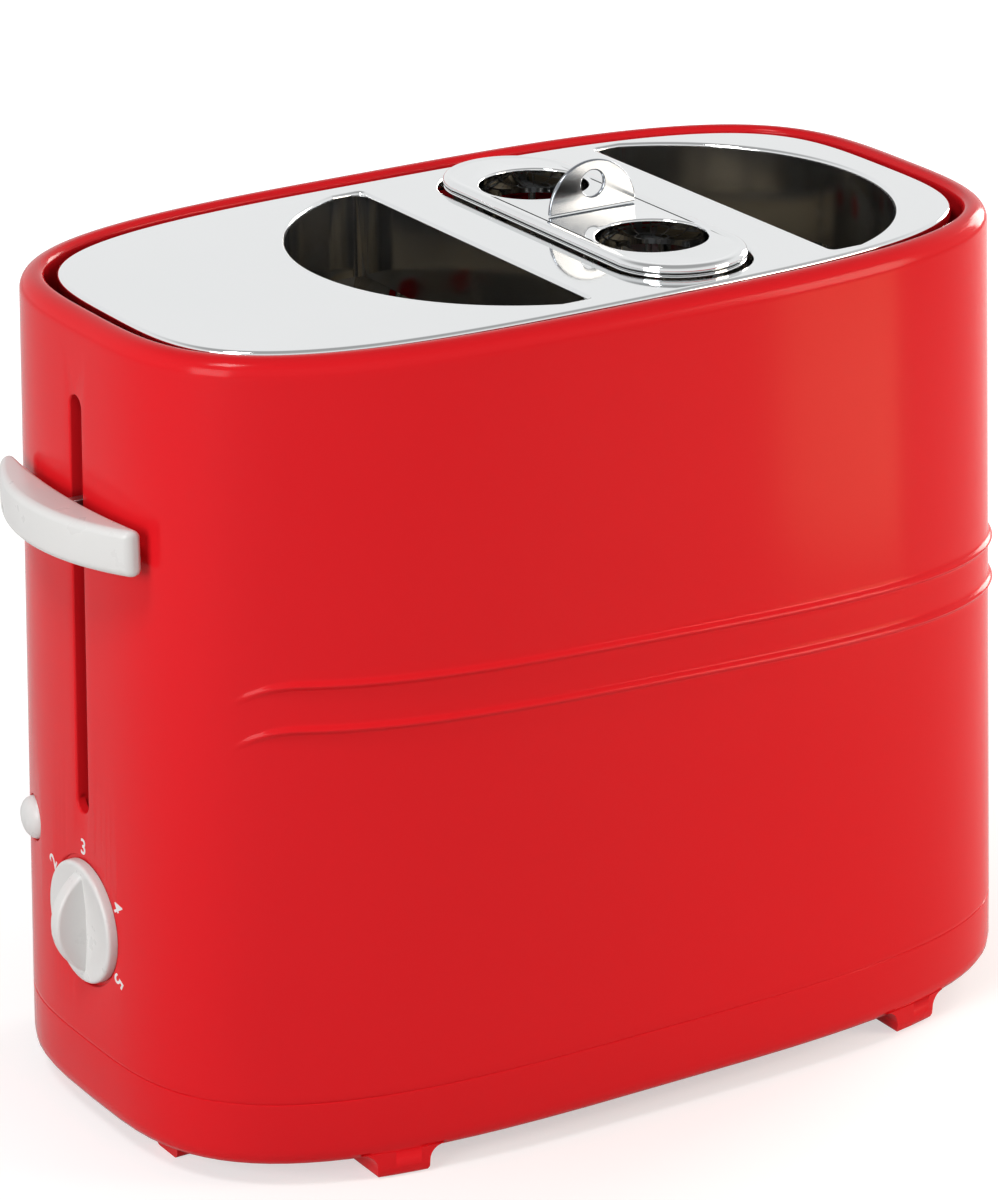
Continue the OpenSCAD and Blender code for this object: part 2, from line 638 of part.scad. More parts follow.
// Circuit board and what is soldered to it
module circuit_board() {
    color(board_green) block([board_x, -board_half, board_low], [board_x + board_t, board_half, board_high]);
}
module board_parts() {
    face = board_x + board_t;
    relay = [12, 12, 18];
    capacitor_d = 10;
    chip = [3, 14, 10];
    color(dark) {
        translate([face, 20, board_low + 8]) cube(relay);
        rod_x_way(capacitor_d, face, face + 11, -30, board_low + 18);
        translate([face, -22, board_low + 30]) cube(chip);
    }
}
module potentiometer() {
    color(dull_steel) difference() {
        union() {
            rod_x_way(17, board_x - pot_depth, board_x, 0, knob_z);
            rod_x_way(9, board_x - pot_depth - 3, board_x - pot_depth + eps, 0, knob_z);
        }
        rod_x_way(shaft_d + 2 * run_gap, board_x - pot_depth - 4, board_x - 2, 0, knob_z);
    }
}
switch_d = 3.5;
switch_deep = 6.4;
stem_gap = switch_deep + button_travel + 0.5;
module cancel_switch() {
    color(dark) difference() {
        block([board_x - switch_deep, button_y - 4, button_z - 4], [board_x, button_y + 4, button_z + 4]);
        rod_x_way(switch_d + 2 * run_gap, board_x - switch_deep - 1, board_x - 0.8, button_y, button_z);
    }
}
module terminal_block() {
    long = 14;
    high = 12;
    screw_hole = 3.6;
    y = side_at(gland_x, gland_z) - gland_in - 1.5 - long;
    low_x = board_x + board_t + post_wall + 1;
    high_x = rod_x - socket_d / 2 - 1;
    color(white) difference() {
        block([low_x, y, floor_top], [high_x, y + long, floor_top + high]);
        for (x = [low_x + 3, high_x - 3]) translate([x, y + long / 2, floor_top + 4]) cylinder(d = screw_hole, h = high);
    }
}
module shell_screws() {
    head_z = foot_h + 5 - 2.6;
    color(dull_steel) for (s = [-1, 1], p = [left_boss, right_boss]) translate([p.x, s * p.y, 0]) difference() {
        union() {
            translate([0, 0, head_z]) cylinder(d = 2 * screw_d, h = 2.6);
            translate([0, 0, head_z + 2]) cylinder(d = screw_d, h = parting_z + 11 - head_z);
        }
        block([-0.5, -2.6, head_z - 1], [0.5, 2.6, head_z + 1.2]);
        block([-2.6, -0.5, head_z - 1], [2.6, 0.5, head_z + 1.2]);
    }
}
module chassis_screws() {
    color(dull_steel) for (s = [-1, 1]) {
        for (p = [[control_x - chassis_screw_out, post_y], [far_x + chassis_screw_out, far_post_y]]) translate([p.x, s * p.y, chassis_bottom]) {
            translate([0, 0, sheet]) cylinder(d = 5.4, h = 1.8);
            translate([0, 0, -7]) cylinder(d = 3, h = 7 + sheet + eps);
        }
    }
}

// ================= carriage =================
left_bars = [-(well_side + 8.2), -(well_side + 34.2)];
basket_bars = [-10, 10];
right_bars = [well_side + 8.2, well_side + 21.9];
module carriage_frame() {
    top = rack_z - rack_t;
    color(dull_steel) {
        for (s = [-1, 1]) block([plate_x + carriage_t / 2, s * rail_y - rail_t / 2, top - rail_h], [rail_end_x, s * rail_y + rail_t / 2, top]);
        for (u = concat(left_bars, basket_bars, right_bars))
            block([chamber_x + u - bar_w / 2, -rail_y, top - bar_h], [chamber_x + u + bar_w / 2, rail_y, top]);
    }
}
module carriage_plate() {
    low = rack_z - rack_t - rail_h;
    high = lever_z + arm_h / 2;
    half = rail_y + rail_t / 2 + 1;
    color(dull_steel) difference() {
        block([plate_x - carriage_t / 2, -half, low], [plate_x + carriage_t / 2, half, high]);
        for (s = [-1, 1]) block([plate_x - 2, s * 24 - 8, low + 10], [plate_x + 2, s * 24 + 8, high - 28]);
    }
}
module bun_rack(side) {
    start = 3;
    long = well_depth - start - 8.5;
    half = 27;
    lip = 2;
    hole = 6;
    color(steel) at_chamber(side) translate([well_side + start, 0, 0]) difference() {
        union() {
            block([0, -half, rack_z - rack_t], [long, half, rack_z]);
            for (s = [-1, 1]) block([0, s * (half - rack_t / 2) - rack_t / 2, rack_z - eps], [long, s * (half - rack_t / 2) + rack_t / 2, rack_z + lip]);
        }
        for (x = [7 : 10 : 27], y = [-18 : 12 : 18]) translate([x, y, rack_z - 2]) cylinder(d = hole, h = 4);
    }
}
module basket_shelf() {
    half_x = (basket_wid - 4.2) / 2;
    half_y = (basket_len - 14) / 2;
    hole = 7;
    pitch = half_y / 3;
    color(steel) translate([chamber_x, 0, 0]) difference() {
        block([-half_x, -half_y, rack_z - rack_t], [half_x, half_y, rack_z]);
        for (i = [-2.5 : 1 : 2.5]) translate([0, i * pitch, rack_z - 2]) cylinder(d = hole, h = 4);
    }
}
module lever_arm() {
    color(dull_steel) block([-lever_back - lever_out + 5.5, -1.5, lever_z - arm_h / 2], [plate_x - carriage_t / 2, 1.5, lever_z + arm_h / 2]);
}
// Crescent cap: an arc in front, and a back that follows the body's end
module lever_cap() {
    front_r = 62;
    back_r = 205;
    edge = 2.6;
    tip = lever_back + lever_out;
    low = lever_z - lever_h / 2;
    color(white) difference() {
        intersection() {
            translate([-tip + front_r, 0, low]) rotate_extrude($fn = 160) {
                translate([0, edge]) square([front_r, lever_h - 2 * edge]);
                square([front_r - edge, lever_h]);
                for (z = [edge, lever_h - edge]) translate([front_r - edge, z]) circle(r = edge, $fn = 32);
            }
            translate([0, 0, low - 1]) linear_extrude(lever_h + 2) rounded_plate([-tip - 5, -lever_half], [-lever_back + 12, lever_half], 3);
        }
        translate([-lever_back + back_r, 0, low - 1]) cylinder(r = back_r, h = lever_h + 2, $fn = 200);
        block([-tip + 5.4, -1.5 - run_gap, lever_z - arm_h / 2 - run_gap], [0, 1.5 + run_gap, lever_z + arm_h / 2 + run_gap]);
    }
}
module rod_bushes() {
    color(dark) for (s = [-1, 1]) translate([rod_x, s * rod_y, bush_z]) difference() {
        union() {
            cylinder(d = bush_d, h = bush_len);
            block([0, -3, 0], [plate_x - carriage_t / 2 - rod_x, 3, bush_len]);
        }
        translate([0, 0, -1]) cylinder(d = rod_d + 2 * run_gap, h = bush_len + 2);
    }
}
module armature() {
    z = magnet_top + travel + 0.4;
    color(steel) block([magnet_x - 6, -core_half, z], [plate_x - carriage_t / 2, core_half, z + 2]);
}

// ================= basket =================
rim_sheet = 1;
module basket_rim() {
    roll = 1.5;
    lip_h = 7;
    straight = (basket_len - basket_wid) / 2;
    color(steel) translate([chamber_x, 0, 0]) difference() {
        union() {
            translate([0, 0, basket_top - rim_sheet]) linear_extrude(rim_sheet) stadium(basket_wid - 2 * roll, basket_len - 2 * roll);
            // rolled edge, and the short skirt below it
            for (s = [-1, 1]) {
                rod_y_way(2 * roll, s * (basket_wid / 2 - roll), -straight, straight, basket_top - roll);
                translate([0, s * straight, basket_top - roll]) rotate([0, 0, s < 0 ? 180 : 0])
                    rotate_extrude(angle = 180) translate([basket_wid / 2 - roll, 0]) circle(r = roll, $fn = 24);
            }
            translate([0, 0, plate_top + 0.2]) linear_extrude(basket_rise - 0.2 - roll) difference() {
                stadium(basket_wid, basket_len);
                stadium(basket_wid - 2 * rim_sheet, basket_len - 2 * rim_sheet);
            }
            for (s = [-1, 1]) translate([0, s * dog_pitch / 2, basket_top - lip_h]) cylinder(d = dog_hole + 2 * rim_sheet, h = lip_h - 0.5);
        }
        for (s = [-1, 1]) translate([0, s * dog_pitch / 2, basket_top - lip_h - 1]) cylinder(d = dog_hole, h = lip_h + 3);
    }
}
module basket_handle() {
    thick = 1.2;
    hole_z = basket_top + tab_r * 0.52;
    color(steel) translate([chamber_x, thick / 2, basket_top]) rotate([90, 0, 0]) linear_extrude(thick) difference() {
        intersection() {
            circle(r = tab_r, $fn = 96);
            translate([-tab_r, 0]) square([2 * tab_r, tab_r]);
        }
        translate([0, hole_z - basket_top]) circle(d = tab_hole);
    }
}
module basket_cage() {
    cage_r = dog_hole / 2 + rim_sheet + 1.1;
    wire = 2;
    hoop_wire = 1.6;
    hoop_r = cage_r - wire / 2;
    floor_z = rack_z + rest_gap + wire / 2;
    under = plate_top - 0.1;
    color(dull_steel) for (s = [-1, 1]) translate([chamber_x, s * dog_pitch / 2, 0]) {
        for (a = [0 : 60 : 300]) rotate([0, 0, a]) translate([cage_r, 0, floor_z - wire / 2]) cylinder(d = wire, h = under - floor_z + wire / 2);
        for (z = [floor_z + 2, floor_z + 54]) translate([0, 0, z]) rotate_extrude() translate([hoop_r, 0]) circle(d = hoop_wire, $fn = 24);
        rod_x_way(hoop_wire, -cage_r, cage_r, 0, floor_z);
        rod_y_way(hoop_wire, 0, -hoop_r, s < 0 ? dog_pitch + hoop_r : hoop_r, floor_z + 1.3);
    }
}

// ================= knob, button and tray =================
module control_knob() {
    seat = -knob_face + knob_seat - 0.3;
    disc_t = 2.2;
    dish = 1.2;
    dish_r = (pow(knob_d / 2 - 0.8, 2) + dish * dish) / (2 * dish);
    fin_r = 0.485 * knob_d;
    hub_h = 7;
    color(white) translate([0, 0, knob_z]) difference() {
        union() {
            // slightly dished disc and its hub, turned about the dial's axis
            translate([seat, 0, 0]) rotate([0, -90, 0]) rotate_extrude($fn = 96) {
                difference() {
                    square([knob_d / 2, disc_t + 0.5]);
                    translate([0, disc_t + 0.5 + dish_r - dish]) circle(r = dish_r, $fn = 360);
                }
                translate([0, -hub_h]) square([(shaft_d + 3.4) / 2, hub_h + 1]);
            }
            // half-moon fin
            intersection() {
                translate([-knob_face - fin_out + fin_r, 0, 0]) rotate([90, 0, 0]) cylinder(r = fin_r, h = fin_t, center = true, $fn = 96);
                block([-knob_face - fin_out - 1, -fin_t, -knob_d], [seat - 0.5, fin_t, knob_d]);
            }
        }
        rod_x_way(shaft_d + 2 * run_gap, seat - 0.5, seat + 10, 0, 0);
    }
}
module knob_shaft() {
    color(steel) rod_x_way(shaft_d, -knob_face + knob_seat - 0.3, board_x - 2.4, 0, knob_z);
}
button_out = 2.8;
module cancel_button() {
    face = end_at(button_y, button_z);
    tip = -face - button_out;
    flange = -end_at(button_y + button_d / 2 + 1.5, button_z, wall) + 0.3;
    dome_r = 9.5;
    stem_end = board_x - stem_gap;
    color(white) translate([0, button_y, button_z]) {
        intersection() {
            rod_x_way(button_d, tip - 1, flange + eps, 0, 0);
            union() {
                translate([tip + dome_r, 0, 0]) sphere(r = dome_r, $fn = 64);
                rod_x_way(button_d, tip + 3, flange + 1, 0, 0);
            }
        }
        rod_x_way(button_d + 3, flange, flange + 1.2, 0, 0);
        rod_x_way(5, flange + 1, stem_end, 0, 0);
    }
}
module switch_plunger() {
    color(dark) rod_x_way(switch_d, board_x - stem_gap, board_x - 0.9 - button_travel - 0.3, button_y, button_z);
}
module crumb_tray() {
    t = sheet;
    low = [tray_low_x, tray_front_y, tray_z];
    high = [tray_high_x, tray_face_y, tray_z + tray_h];
    pull_half = 26;
    color(dull_steel) union() {
        difference() {
            block(low, [high.x, high.y, low.z + 8]);
            block([low.x + t, low.y + t, low.z + t], [high.x - t, high.y - t, low.z + 9]);
        }
        block([low.x, high.y - t, low.z], high);
        block([chamber_x - pull_half, high.y - eps, low.z + 3], [chamber_x + pull_half, high.y + 8, low.z + 5.5]);
        block([chamber_x - pull_half, high.y + 6.5, low.z + 3], [chamber_x + pull_half, high.y + 8, low.z + 8]);
    }
}

in_frame() outer_shell();
in_frame() base();
in_frame() cord_gland();
in_frame() top_plate();
in_frame() bun_collar(-1);  // bun_collar_left
in_frame() bun_collar(1);  // bun_collar_right
in_frame() bun_guard(-1);  // bun_guard_left
in_frame() bun_guard(1);  // bun_guard_right
in_frame() chassis_front();
in_frame() chassis_back();
in_frame() chassis_control_side();
in_frame() chassis_far_side();
in_frame() heater_channels();
in_frame() heater_card(-1, false);  // heater_card_left
in_frame() heater_card(-1, true);  // heater_card_mid_left
in_frame() heater_card(1, true);  // heater_card_mid_right
in_frame() heater_card(1, false);  // heater_card_right
in_frame() heating_ribbon(-1, false);  // heating_ribbon_left
in_frame() heating_ribbon(-1, true);  // heating_ribbon_mid_left
in_frame() heating_ribbon(1, true);  // heating_ribbon_mid_right
in_frame() heating_ribbon(1, false);  // heating_ribbon_right
in_frame() rod_bracket();
in_frame() guide_rod_front();
in_frame() guide_rod_back();
in_frame() return_spring();
in_frame() magnet_core();
in_frame() magnet_coil();
in_frame() circuit_board();
in_frame() board_parts();
in_frame() potentiometer();
in_frame() cancel_switch();
in_frame() terminal_block();
in_frame() shell_screws();
in_frame() chassis_screws();
in_frame() carriage_frame();
in_frame() carriage_plate();
in_frame() bun_rack(-1);  // bun_rack_left
in_frame() bun_rack(1);  // bun_rack_right
in_frame() basket_shelf();
in_frame() lever_arm();
in_frame() lever_cap();
in_frame() rod_bushes();
in_frame() armature();
in_frame() basket_rim();
in_frame() basket_handle();
in_frame() basket_cage();
in_frame() control_knob();
in_frame() knob_shaft();
in_frame() cancel_button();
in_frame() switch_plunger();
in_frame() crumb_tray();
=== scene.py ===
import bmesh
import bpy
from math import atan2, cos, pi, radians, sin, sqrt
from mathutils import Matrix, Vector
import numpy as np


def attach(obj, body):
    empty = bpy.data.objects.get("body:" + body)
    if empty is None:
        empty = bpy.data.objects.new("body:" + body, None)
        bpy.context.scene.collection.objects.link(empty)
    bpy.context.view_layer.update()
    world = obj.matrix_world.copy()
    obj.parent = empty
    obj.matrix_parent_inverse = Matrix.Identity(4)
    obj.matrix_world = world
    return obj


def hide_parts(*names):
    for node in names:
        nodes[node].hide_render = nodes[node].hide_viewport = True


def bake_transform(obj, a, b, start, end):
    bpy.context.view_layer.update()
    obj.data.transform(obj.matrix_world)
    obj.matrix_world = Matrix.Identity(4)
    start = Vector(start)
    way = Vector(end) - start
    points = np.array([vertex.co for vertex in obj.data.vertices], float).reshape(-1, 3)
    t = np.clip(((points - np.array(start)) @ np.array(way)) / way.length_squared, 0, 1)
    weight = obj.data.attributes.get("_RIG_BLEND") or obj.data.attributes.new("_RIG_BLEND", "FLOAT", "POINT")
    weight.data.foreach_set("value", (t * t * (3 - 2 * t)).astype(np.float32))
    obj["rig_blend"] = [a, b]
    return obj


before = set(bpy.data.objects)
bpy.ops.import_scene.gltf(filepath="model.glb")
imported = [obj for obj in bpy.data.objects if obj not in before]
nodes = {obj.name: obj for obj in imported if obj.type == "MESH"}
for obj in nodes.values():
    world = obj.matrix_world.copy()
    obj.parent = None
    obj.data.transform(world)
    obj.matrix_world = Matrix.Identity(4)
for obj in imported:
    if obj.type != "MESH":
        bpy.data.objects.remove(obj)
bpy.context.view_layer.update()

# ---- The studio ----
# A white floor with a painted shadow: its glow is dimmed round the object, the more the nearer, so that it keeps
# the object's shadow as well; a white room that is dimmer straight overhead; four soft boxes, one of them low and
# warm at the right, and an overhead panel.
# The camera stands a little above the rim, off the corner between the lever's end and the front.
camera = bpy.data.cameras.new("camera")
camera.sensor_fit = "VERTICAL"
camera.sensor_height = 36
camera.lens = 158.17
camera.clip_end = 20
camera_stand = bpy.data.objects.new("camera", camera)
camera_stand.matrix_world = Matrix((
    (0.85070, 0.19571, -0.48787, -0.669087),
    (-0.52552, 0.29550, -0.79781, -1.093920),
    (-0.01197, 0.93508, 0.35422, 0.602909),
    (0, 0, 0, 1)))
bpy.context.scene.collection.objects.link(camera_stand)
bpy.context.scene.camera = camera_stand
bpy.context.scene.view_settings.view_transform = "Standard"


class Wire:
    """A value in a material: an expression on wires adds the maths nodes for it."""

    def __init__(self, tree, socket):
        self.tree, self.socket = tree, socket

    def reckon(self, operation, *values):
        node = self.tree.nodes.new("ShaderNodeMath")
        node.operation = operation
        for socket, value in zip(node.inputs, values):
            plug(self.tree, value, socket)
        return Wire(self.tree, node.outputs[0])

    def __add__(self, other): return self.reckon("ADD", self, other)
    def __radd__(self, other): return self.reckon("ADD", other, self)
    def __sub__(self, other): return self.reckon("SUBTRACT", self, other)
    def __rsub__(self, other): return self.reckon("SUBTRACT", other, self)
    def __mul__(self, other): return self.reckon("MULTIPLY", self, other)
    def __rmul__(self, other): return self.reckon("MULTIPLY", other, self)
    def __truediv__(self, other): return self.reckon("DIVIDE", self, other)
    def __pow__(self, other): return self.reckon("POWER", self, other)


def plug(tree, value, socket):
    if isinstance(value, Wire):
        tree.links.new(value.socket, socket)
    else:
        socket.default_value = value


class Finish:
    """A material that is built up from the principled shader."""

    def __init__(self, name, **fixed):
        self.material = bpy.data.materials.new(name)
        self.material.use_nodes = True
        self.tree = self.material.node_tree
        self.shader = self.tree.nodes["Principled BSDF"]
        for socket, value in fixed.items():
            self.shader.inputs[socket.replace("_", " ")].default_value = value

    def add(self, kind, settings=None, values=None, out=0):
        node = self.tree.nodes.new("ShaderNode" + kind)
        for key, value in (settings or {}).items():
            if key == "stops":
                ramp = node.color_ramp
                while len(ramp.elements) < len(value):
                    ramp.elements.new(0.5)
                for element, (position, colour) in zip(ramp.elements, value):
                    element.position = position
                    element.color = (*colour, 1)
            else:
                setattr(node, key, value)
        for key, value in (values or {}).items():
            plug(self.tree, value, node.inputs[key])
        return Wire(self.tree, node.outputs[out])

    def set(self, socket, value):
        plug(self.tree, value, self.shader.inputs[socket])

    def place(self):
        return self.add("TexCoord", out="Object")

    def noise(self, scale, detail=2.0, roughness=0.5, vector=None, out=0):
        return self.add("TexNoise", {"noise_dimensions": "3D"},
                        {"Vector": vector or self.place(), "Scale": scale, "Detail": detail,
                         "Roughness": roughness}, out)

    def mix(self, factor, a, b):
        return self.add("Mix", {"data_type": "RGBA"},
                        {"Factor": factor, 6: (*a, 1) if isinstance(a, tuple) else a,
                         7: (*b, 1) if isinstance(b, tuple) else b}, out=2)

    def bump(self, height, strength, distance):
        self.set("Normal",
                 self.add("Bump", None, {"Height": height, "Strength": strength, "Distance": distance}))


floor_mesh = bmesh.new()
bmesh.ops.create_grid(floor_mesh, x_segments=1, y_segments=1, size=6)
floor_data = bpy.data.meshes.new("floor")
floor_mesh.to_mesh(floor_data)
floor = bpy.data.objects.new("floor", floor_data)
bpy.context.scene.collection.objects.link(floor)
floor_finish = Finish("floor", Base_Color=(0.5, 0.5, 0.5, 1), Roughness=0.9)
seen = floor_finish.add("LightPath", out="Is Camera Ray")
mirrored = floor_finish.add("LightPath", out="Is Glossy Ray")
through = floor_finish.add("LightPath", out="Is Transmission Ray")
floor_finish.shader.inputs["Emission Strength"].default_value = 1
# painted shadow: the floor's glow is dimmed round the object, by up to 0.55 at its middle, fading with distance
shade_falloff, shade_depth = 25, 0.55
away = floor_finish.add("VectorMath", {"operation": "LENGTH"}, {"Vector": floor_finish.place()}, out="Value")
near = (away * away * shade_falloff + 1) ** -1
floor_finish.set("Emission Color",
                 floor_finish.mix((seen + mirrored * 0.5 + through) * (1 - near * shade_depth), (0, 0, 0),
                                  (1, 1, 1)))
floor_data.materials.append(floor_finish.material)

world = bpy.data.worlds.new("studio")
world.use_nodes = True
bpy.context.scene.world = world
sky = world.node_tree
rays = sky.nodes.new("ShaderNodeLightPath")
shown = (Wire(sky, rays.outputs["Is Camera Ray"]) + Wire(sky, rays.outputs["Is Glossy Ray"])
         + Wire(sky, rays.outputs["Is Transmission Ray"]))
plug(sky, (1, 1, 1, 1), sky.nodes["Background"].inputs["Color"])
heading = sky.nodes.new("ShaderNodeSeparateXYZ")
sky.links.new(sky.nodes.new("ShaderNodeTexCoord").outputs["Generated"], heading.inputs[0])
overhead = sky.nodes.new("ShaderNodeMapRange")
overhead.interpolation_type = "SMOOTHSTEP"
sky.links.new(heading.outputs["Z"], overhead.inputs["Value"])
overhead.inputs["From Min"].default_value, overhead.inputs["From Max"].default_value = 0.5, 0.9
plug(sky, (shown * 0.76 + 0.24) * (1 - Wire(sky, overhead.outputs[0]) * 0.55),
     sky.nodes["Background"].inputs["Strength"])


def soft_box(name, place, aim, wide, high, watts, colour):
    panel = bpy.data.lights.new(name, "AREA")
    panel.shape = "RECTANGLE"
    panel.size, panel.size_y = wide, high
    panel.energy = watts
    panel.color = colour
    stand = bpy.data.objects.new(name, panel)
    stand.location = place
    stand.rotation_euler = (Vector(aim) - Vector(place)).to_track_quat("-Z", "Y").to_euler()
    bpy.context.scene.collection.objects.link(stand)


soft_box("left_box", (-1.3, -0.45, 0.5), (0, 0, 0.12), 0.6, 0.8, 10.5, (1, 1, 0.99))
soft_box("right_box", (0.55, -0.55, 0.32), (0.08, -0.03, 0.12), 0.3, 0.4, 3.1, (1, 0.88, 0.72))
soft_box("low_box", (0.36, -0.36, 0.05), (0.12, -0.07, 0.14), 0.16, 0.12, 0.22, (1, 0.62, 0.3))
soft_box("back_box", (1.15, 0.4, 0.42), (0.1, 0, 0.2), 0.45, 0.5, 8, (1, 0.93, 0.86))
soft_box("top_panel", (-0.62, -0.16, 1.2), (-0.05, 0, 0.2), 0.22, 0.3, 5, (1, 1, 1))

# ---- The red shell ----
# One deep injection moulding in glossy red, with a rolled rim, a return lip and two raised lines that fall
# towards the plain end. It drops over the chassis and is screwed up from below through four bosses.
mm = 0.001
shift_x = 4.893  # the whole object's middle, from the body's middle, in millimetres
rim_length, rim_width, rim_top, foot_height = 250, 144.2, 216, 6
end_spread, side_spread, squareness = 5.2, 2.5, 3.33
parting, wall = 23.4, 2.5


def half_length(z): return rim_length / 2 + end_spread * (rim_top - z) / (rim_top - foot_height)
def half_width(z): return rim_width / 2 + side_spread * (rim_top - z) / (rim_top - foot_height)
def eased(v, p): return (1 if v >= 0 else -1) * abs(v) ** p


def outline(turn, z, inset):
    """The body's plan at one height: a squared ellipse, moved in along its normal."""
    a, b, n = half_length(z), half_width(z), squareness
    x, y = a * eased(cos(turn), 2 / n), b * eased(sin(turn), 2 / n)
    gx, gy = eased(x / a, n - 1) / a, eased(y / b, n - 1) / b
    g = sqrt(gx * gx + gy * gy)
    return Vector((x - inset * gx / g, y - inset * gy / g, z))


def end_face(y, z, inset=0.0):
    """How far the body's end stands from its middle, at a sideways place and a height."""
    across = abs(y) / (half_width(z) - inset)
    return (half_length(z) - inset) * (1 - across ** squareness) ** (1 / squareness)


def start_ring(bm, steps, z, inset):
    turn = bm.verts.layers.float.new("turn")
    for v in bmesh.ops.create_circle(bm, segments=steps, radius=1)["verts"]:
        v[turn] = atan2(v.co.y, v.co.x)
        v.co = outline(v[turn], z, inset)
    return [e for e in bm.edges]


def next_ring(bm, edges, place):
    """Draws the ring on to its next place; each corner keeps its turn round the body."""
    turn = bm.verts.layers.float["turn"]
    grown = bmesh.ops.extrude_edge_only(bm, edges=edges)["geom"]
    for v in (g for g in grown if isinstance(g, bmesh.types.BMVert)):
        v.co = place(v[turn])
    return [g for g in grown if isinstance(g, bmesh.types.BMEdge)]


def finished(bm, name, body, finish, stands_for=(), smooth=32):
    """Turns a piece worked in millimetres about the body's middle into a finished object."""
    bm.transform(Matrix.Translation((shift_x * mm, 0, 0)) @ Matrix.Scale(mm, 4))
    data = bpy.data.meshes.new(name)
    bm.to_mesh(data)
    bm.free()
    data.polygons.foreach_set("use_smooth", [True] * len(data.polygons))
    data.set_sharp_from_angle(angle=radians(smooth))
    data.materials.append(finish.material)
    piece = bpy.data.objects.new(name, data)
    bpy.context.scene.collection.objects.link(piece)
    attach(piece, body)
    if stands_for:
        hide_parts(*stands_for)
    return piece


def loose(bm, name):
    """A cutter: an object that is used once and thrown away."""
    data = bpy.data.meshes.new(name)
    bmesh.ops.recalc_face_normals(bm, faces=bm.faces)
    bm.to_mesh(data)
    bm.free()
    cutter = bpy.data.objects.new(name, data)
    bpy.context.scene.collection.objects.link(cutter)
    return cutter


def cut_away(bm, cutters):
    """Cuts the pieces in cutters out of bm, and gives back what is left."""
    work = loose(bm, "work")
    for cutter in cutters:
        step = work.modifiers.new("cut", "BOOLEAN")
        step.operation = "DIFFERENCE"
        step.solver = "EXACT"
        step.object = cutter
    left = bmesh.new()
    left.from_mesh(work.evaluated_get(bpy.context.evaluated_depsgraph_get()).to_mesh())
    for spent in [work] + cutters:
        bpy.data.objects.remove(spent)
    return left


red = Finish("red_moulding", Roughness=0.16, Specular_IOR_Level=0.11)
red.set("Base Color", red.mix(red.noise(9, 3), (0.70, 0.010, 0.015), (0.74, 0.012, 0.018)))
red.set("Roughness", red.noise(30, 4) * 0.06 + 0.13)
red.bump(red.noise(260, 1) * 0.6 + red.noise(45, 1) * 0.4, 0.04, 0.0004)

shell = bmesh.new()
steps = 384
line_low, line_pitch, line_out, line_width = 118.5, 11.5, 1.1, 3.0
line_fall, line_curl = 10.55, 7
fade_from, fade_to = 131, 147


def line_share(turn):
    away = abs(turn) * 180 / pi
    share = min(1, max(0, (fade_to - away) / (fade_to - fade_from)))
    return share * share * (3 - 2 * share), share


def raised_line(mid, dz, out):
    def place(turn):
        height, share = line_share(turn)
        x = outline(turn, mid, 0).x
        z = mid - line_fall * x / rim_length - line_curl * (1 - share) ** 2 + dz
        return outline(turn, z, -out * height)
    return place


def level(z, inset):
    return lambda turn: outline(turn, z, inset)


rings = [(parting + 0.12, 0.1), (parting + 0.45, 0), (parting + 1.2, 0)]
edge = start_ring(shell, steps, parting, 0.4)
first = list(edge)
for z, inset in rings:
    edge = next_ring(shell, edge, level(z, inset))
for mid in (line_low, line_low + line_pitch):
    for dz in (-0.8, -0.5, -0.42, -0.32, -0.22, -0.12, 0, 0.12, 0.22, 0.32, 0.42, 0.5, 0.8):
        out = line_out * cos(pi * dz) ** 2 if abs(dz) < 0.5 else 0
        edge = next_ring(shell, edge, raised_line(mid, dz * line_width, out))
rim_round, rim_roll, lip_depth = 4.4, 6.3, 13
inner_round = rim_roll - rim_round
edge = next_ring(shell, edge, level(rim_top - rim_round - 0.8, 0))
for i in range(0, 11):
    a = pi / 2 * i / 10
    edge = next_ring(shell, edge, level(rim_top - rim_round * (1 - sin(a)), rim_round * (1 - cos(a))))
for i in range(7, -1, -1):
    a = pi / 2 * i / 8
    edge = next_ring(shell, edge,
                     level(rim_top - inner_round * (1 - sin(a)), rim_roll - inner_round * (1 - cos(a))))
for z, inset in ((rim_top - inner_round - 0.6, rim_roll), (rim_top - lip_depth + 0.5, rim_roll),
                 (rim_top - lip_depth, rim_roll - 0.4),
                 (rim_top - lip_depth, rim_roll - 1.6), (rim_top - lip_depth + 0.4, rim_roll - 2),
                 (rim_top - wall - 1.5, rim_roll - 2), (rim_top - wall - 1.5, wall), (parting, wall)):
    edge = next_ring(shell, edge, level(z, inset))
bmesh.ops.bridge_loops(shell, edges=first + edge)
bmesh.ops.recalc_face_normals(shell, faces=shell.faces)


def end_plug(name, wide, high, y, z, flare, deep, back=None):
    """A plug with round ends that follows the body's end, and flares at its mouth by a small rounding."""
    bm = bmesh.new()
    across, up = bm.verts.layers.float.new("across"), bm.verts.layers.float.new("up")
    straight = (high - wide) / 2
    for v in bmesh.ops.create_circle(bm, segments=64, radius=1)["verts"]:
        v[across], v[up] = v.co.x, v.co.y

    def put(v, stand, grow):
        r = wide / 2 + grow
        yy, zz = y - v[across] * r, z + v[up] * r + (straight if v[up] > 0 else -straight)
        v.co = (-(end_face(yy, zz) + stand) if back is None or stand > -deep else back, yy, zz)

    edges = first_edges = bm.edges[:]
    for v in bm.verts:
        put(v, 8, flare)
    mouth = [(flare * -(1 - cos(a)), flare * (1 - sin(a)))
             for a in (pi / 10 * i for i in range(6))] if flare else []
    for stand, grow in mouth + [(-deep, 0)]:
        grown = bmesh.ops.extrude_edge_only(bm, edges=edges)["geom"]
        for v in (g for g in grown if isinstance(g, bmesh.types.BMVert)):
            put(v, stand, grow)
        edges = [g for g in grown if isinstance(g, bmesh.types.BMEdge)]
    bmesh.ops.contextual_create(bm, geom=first_edges)
    bmesh.ops.contextual_create(bm, geom=edges)
    return loose(bm, name)


